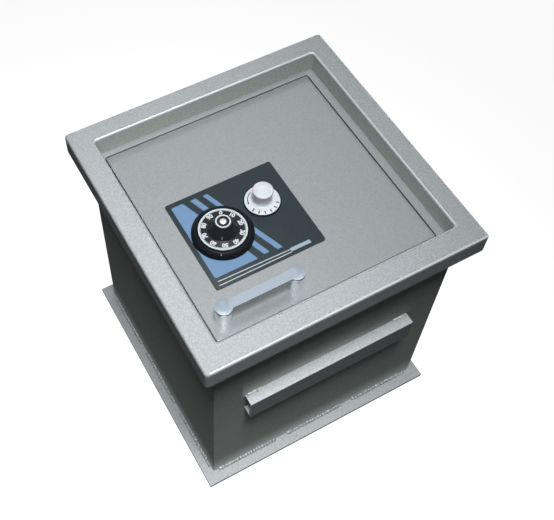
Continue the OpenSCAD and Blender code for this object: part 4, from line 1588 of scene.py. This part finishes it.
@dataclass
class Studio:
    """Pale floor, one soft overhead lamp, a weak one behind, a dim room and the camera."""

    eye: Place = (-0.40024344, -0.58856345, 1.35795216)
    tilt_deg: Place = (32.77138517572611, -0.31480518431535587, -28.689487904846704)
    lens_mm: float = 59.855324604451795
    sensor_mm: float = 36.0
    shift: Spot = (0.10251305283890082, -0.022034678906470012)
    floor_r: float = 7.0
    floor_facets: int = 96
    lamps: Tuple[Lamp, ...] = (
        Lamp("overhead_lamp", (-0.35, -0.64, 3.0), (-0.33, -0.20, 0.4), 0.8, 34.0, 4.95),
        Lamp("back_lamp", (0.35, 0.55, 2.6), (0.12, 0.24, 0.4), 0.4, 22.0, 0.26),
    )
    room: float = 0.05
    floor_bounce: Colour = (0.13, 0.13, 0.13)
    floor_seen: Colour = (0.25, 0.25, 0.25)
    floor_glow: float = 0.93

    @staticmethod
    def seen(wiring: Wiring) -> NodeSocket:
        """One for rays from the camera, a mirror or glass, zero for the rest.

        Args:
            wiring: the tree that asks.

        Returns:
            One or zero.
        """
        rays = wiring.add("LightPath", {}).outputs
        either = wiring.maths("MAXIMUM", rays["Is Camera Ray"], rays["Is Glossy Ray"])
        return wiring.maths("MAXIMUM", either, rays["Is Transmission Ray"])

    def floor(self) -> None:
        """Lay the floor; it looks white and still takes the safe's shadow."""
        Bench.ready()
        bpy.ops.mesh.primitive_circle_add(
            vertices=self.floor_facets, radius=self.floor_r, fill_type="NGON")
        ground = Bench.settle("studio_floor")
        material = bpy.data.materials.new("studio_floor")
        material.use_nodes = True
        wiring = Wiring(material.node_tree)
        wiring.tree.nodes.clear()
        bounce = wiring.add("BsdfDiffuse", {"Color": self.floor_bounce}).outputs[0]
        face = wiring.add("BsdfDiffuse", {"Color": self.floor_seen}).outputs[0]
        glow = wiring.add("Emission", {"Strength": self.floor_glow}).outputs[0]
        white = wiring.add("AddShader", {0: face, 1: glow}).outputs[0]
        choice = wiring.add("MixShader", {0: self.seen(wiring), 1: bounce, 2: white})
        wiring.add("OutputMaterial", {"Surface": choice.outputs[0]})
        ground.data.materials.append(material)

    def room_light(self) -> None:
        """A dim even room that looks white."""
        world = bpy.data.worlds.new("studio_room")
        bpy.context.scene.world = world
        world.use_nodes = True
        wiring = Wiring(world.node_tree)
        back = wiring.tree.nodes["Background"]
        inputs = {"Value": self.seen(wiring), "To Min": self.room, "To Max": 1.0}
        wiring.plug((1.0, 1.0, 1.0), back.inputs["Color"])
        wiring.plug(wiring.add("MapRange", inputs).outputs["Result"], back.inputs["Strength"])

    def camera(self) -> None:
        """Stand the camera where the photograph was taken."""
        Bench.ready()
        tilt = tuple(math.radians(angle) for angle in self.tilt_deg)
        bpy.ops.object.camera_add(location=self.eye, rotation=tilt)
        camera = bpy.context.object
        camera.name = "photo_camera"
        camera.data.sensor_width = self.sensor_mm
        camera.data.sensor_fit = "HORIZONTAL"
        camera.data.lens = self.lens_mm
        camera.data.shift_x, camera.data.shift_y = self.shift
        camera.data.dof.use_dof = False
        bpy.context.scene.camera = camera

    def build(self) -> None:
        """Set up the whole studio."""
        bpy.context.scene.view_settings.view_transform = "Standard"
        self.camera()
        self.floor()
        self.room_light()
        for lamp in self.lamps:
            lamp.hang()


def main() -> None:
    """Build the studio and every sub-assembly in order."""
    logging.basicConfig(level=logging.INFO, format="%(message)s")
    for assembly in (
        Studio(),
        SafeBody(),
        DoorLeaf(),
        LockPlate(),
        CombinationDial(),
        OpenKnob(),
        PullHandle(),
    ):
        assembly.build()
        LOG.info("%s built", type(assembly).__name__)
    Bench.ready()


if __name__ == "__main__":
    main()
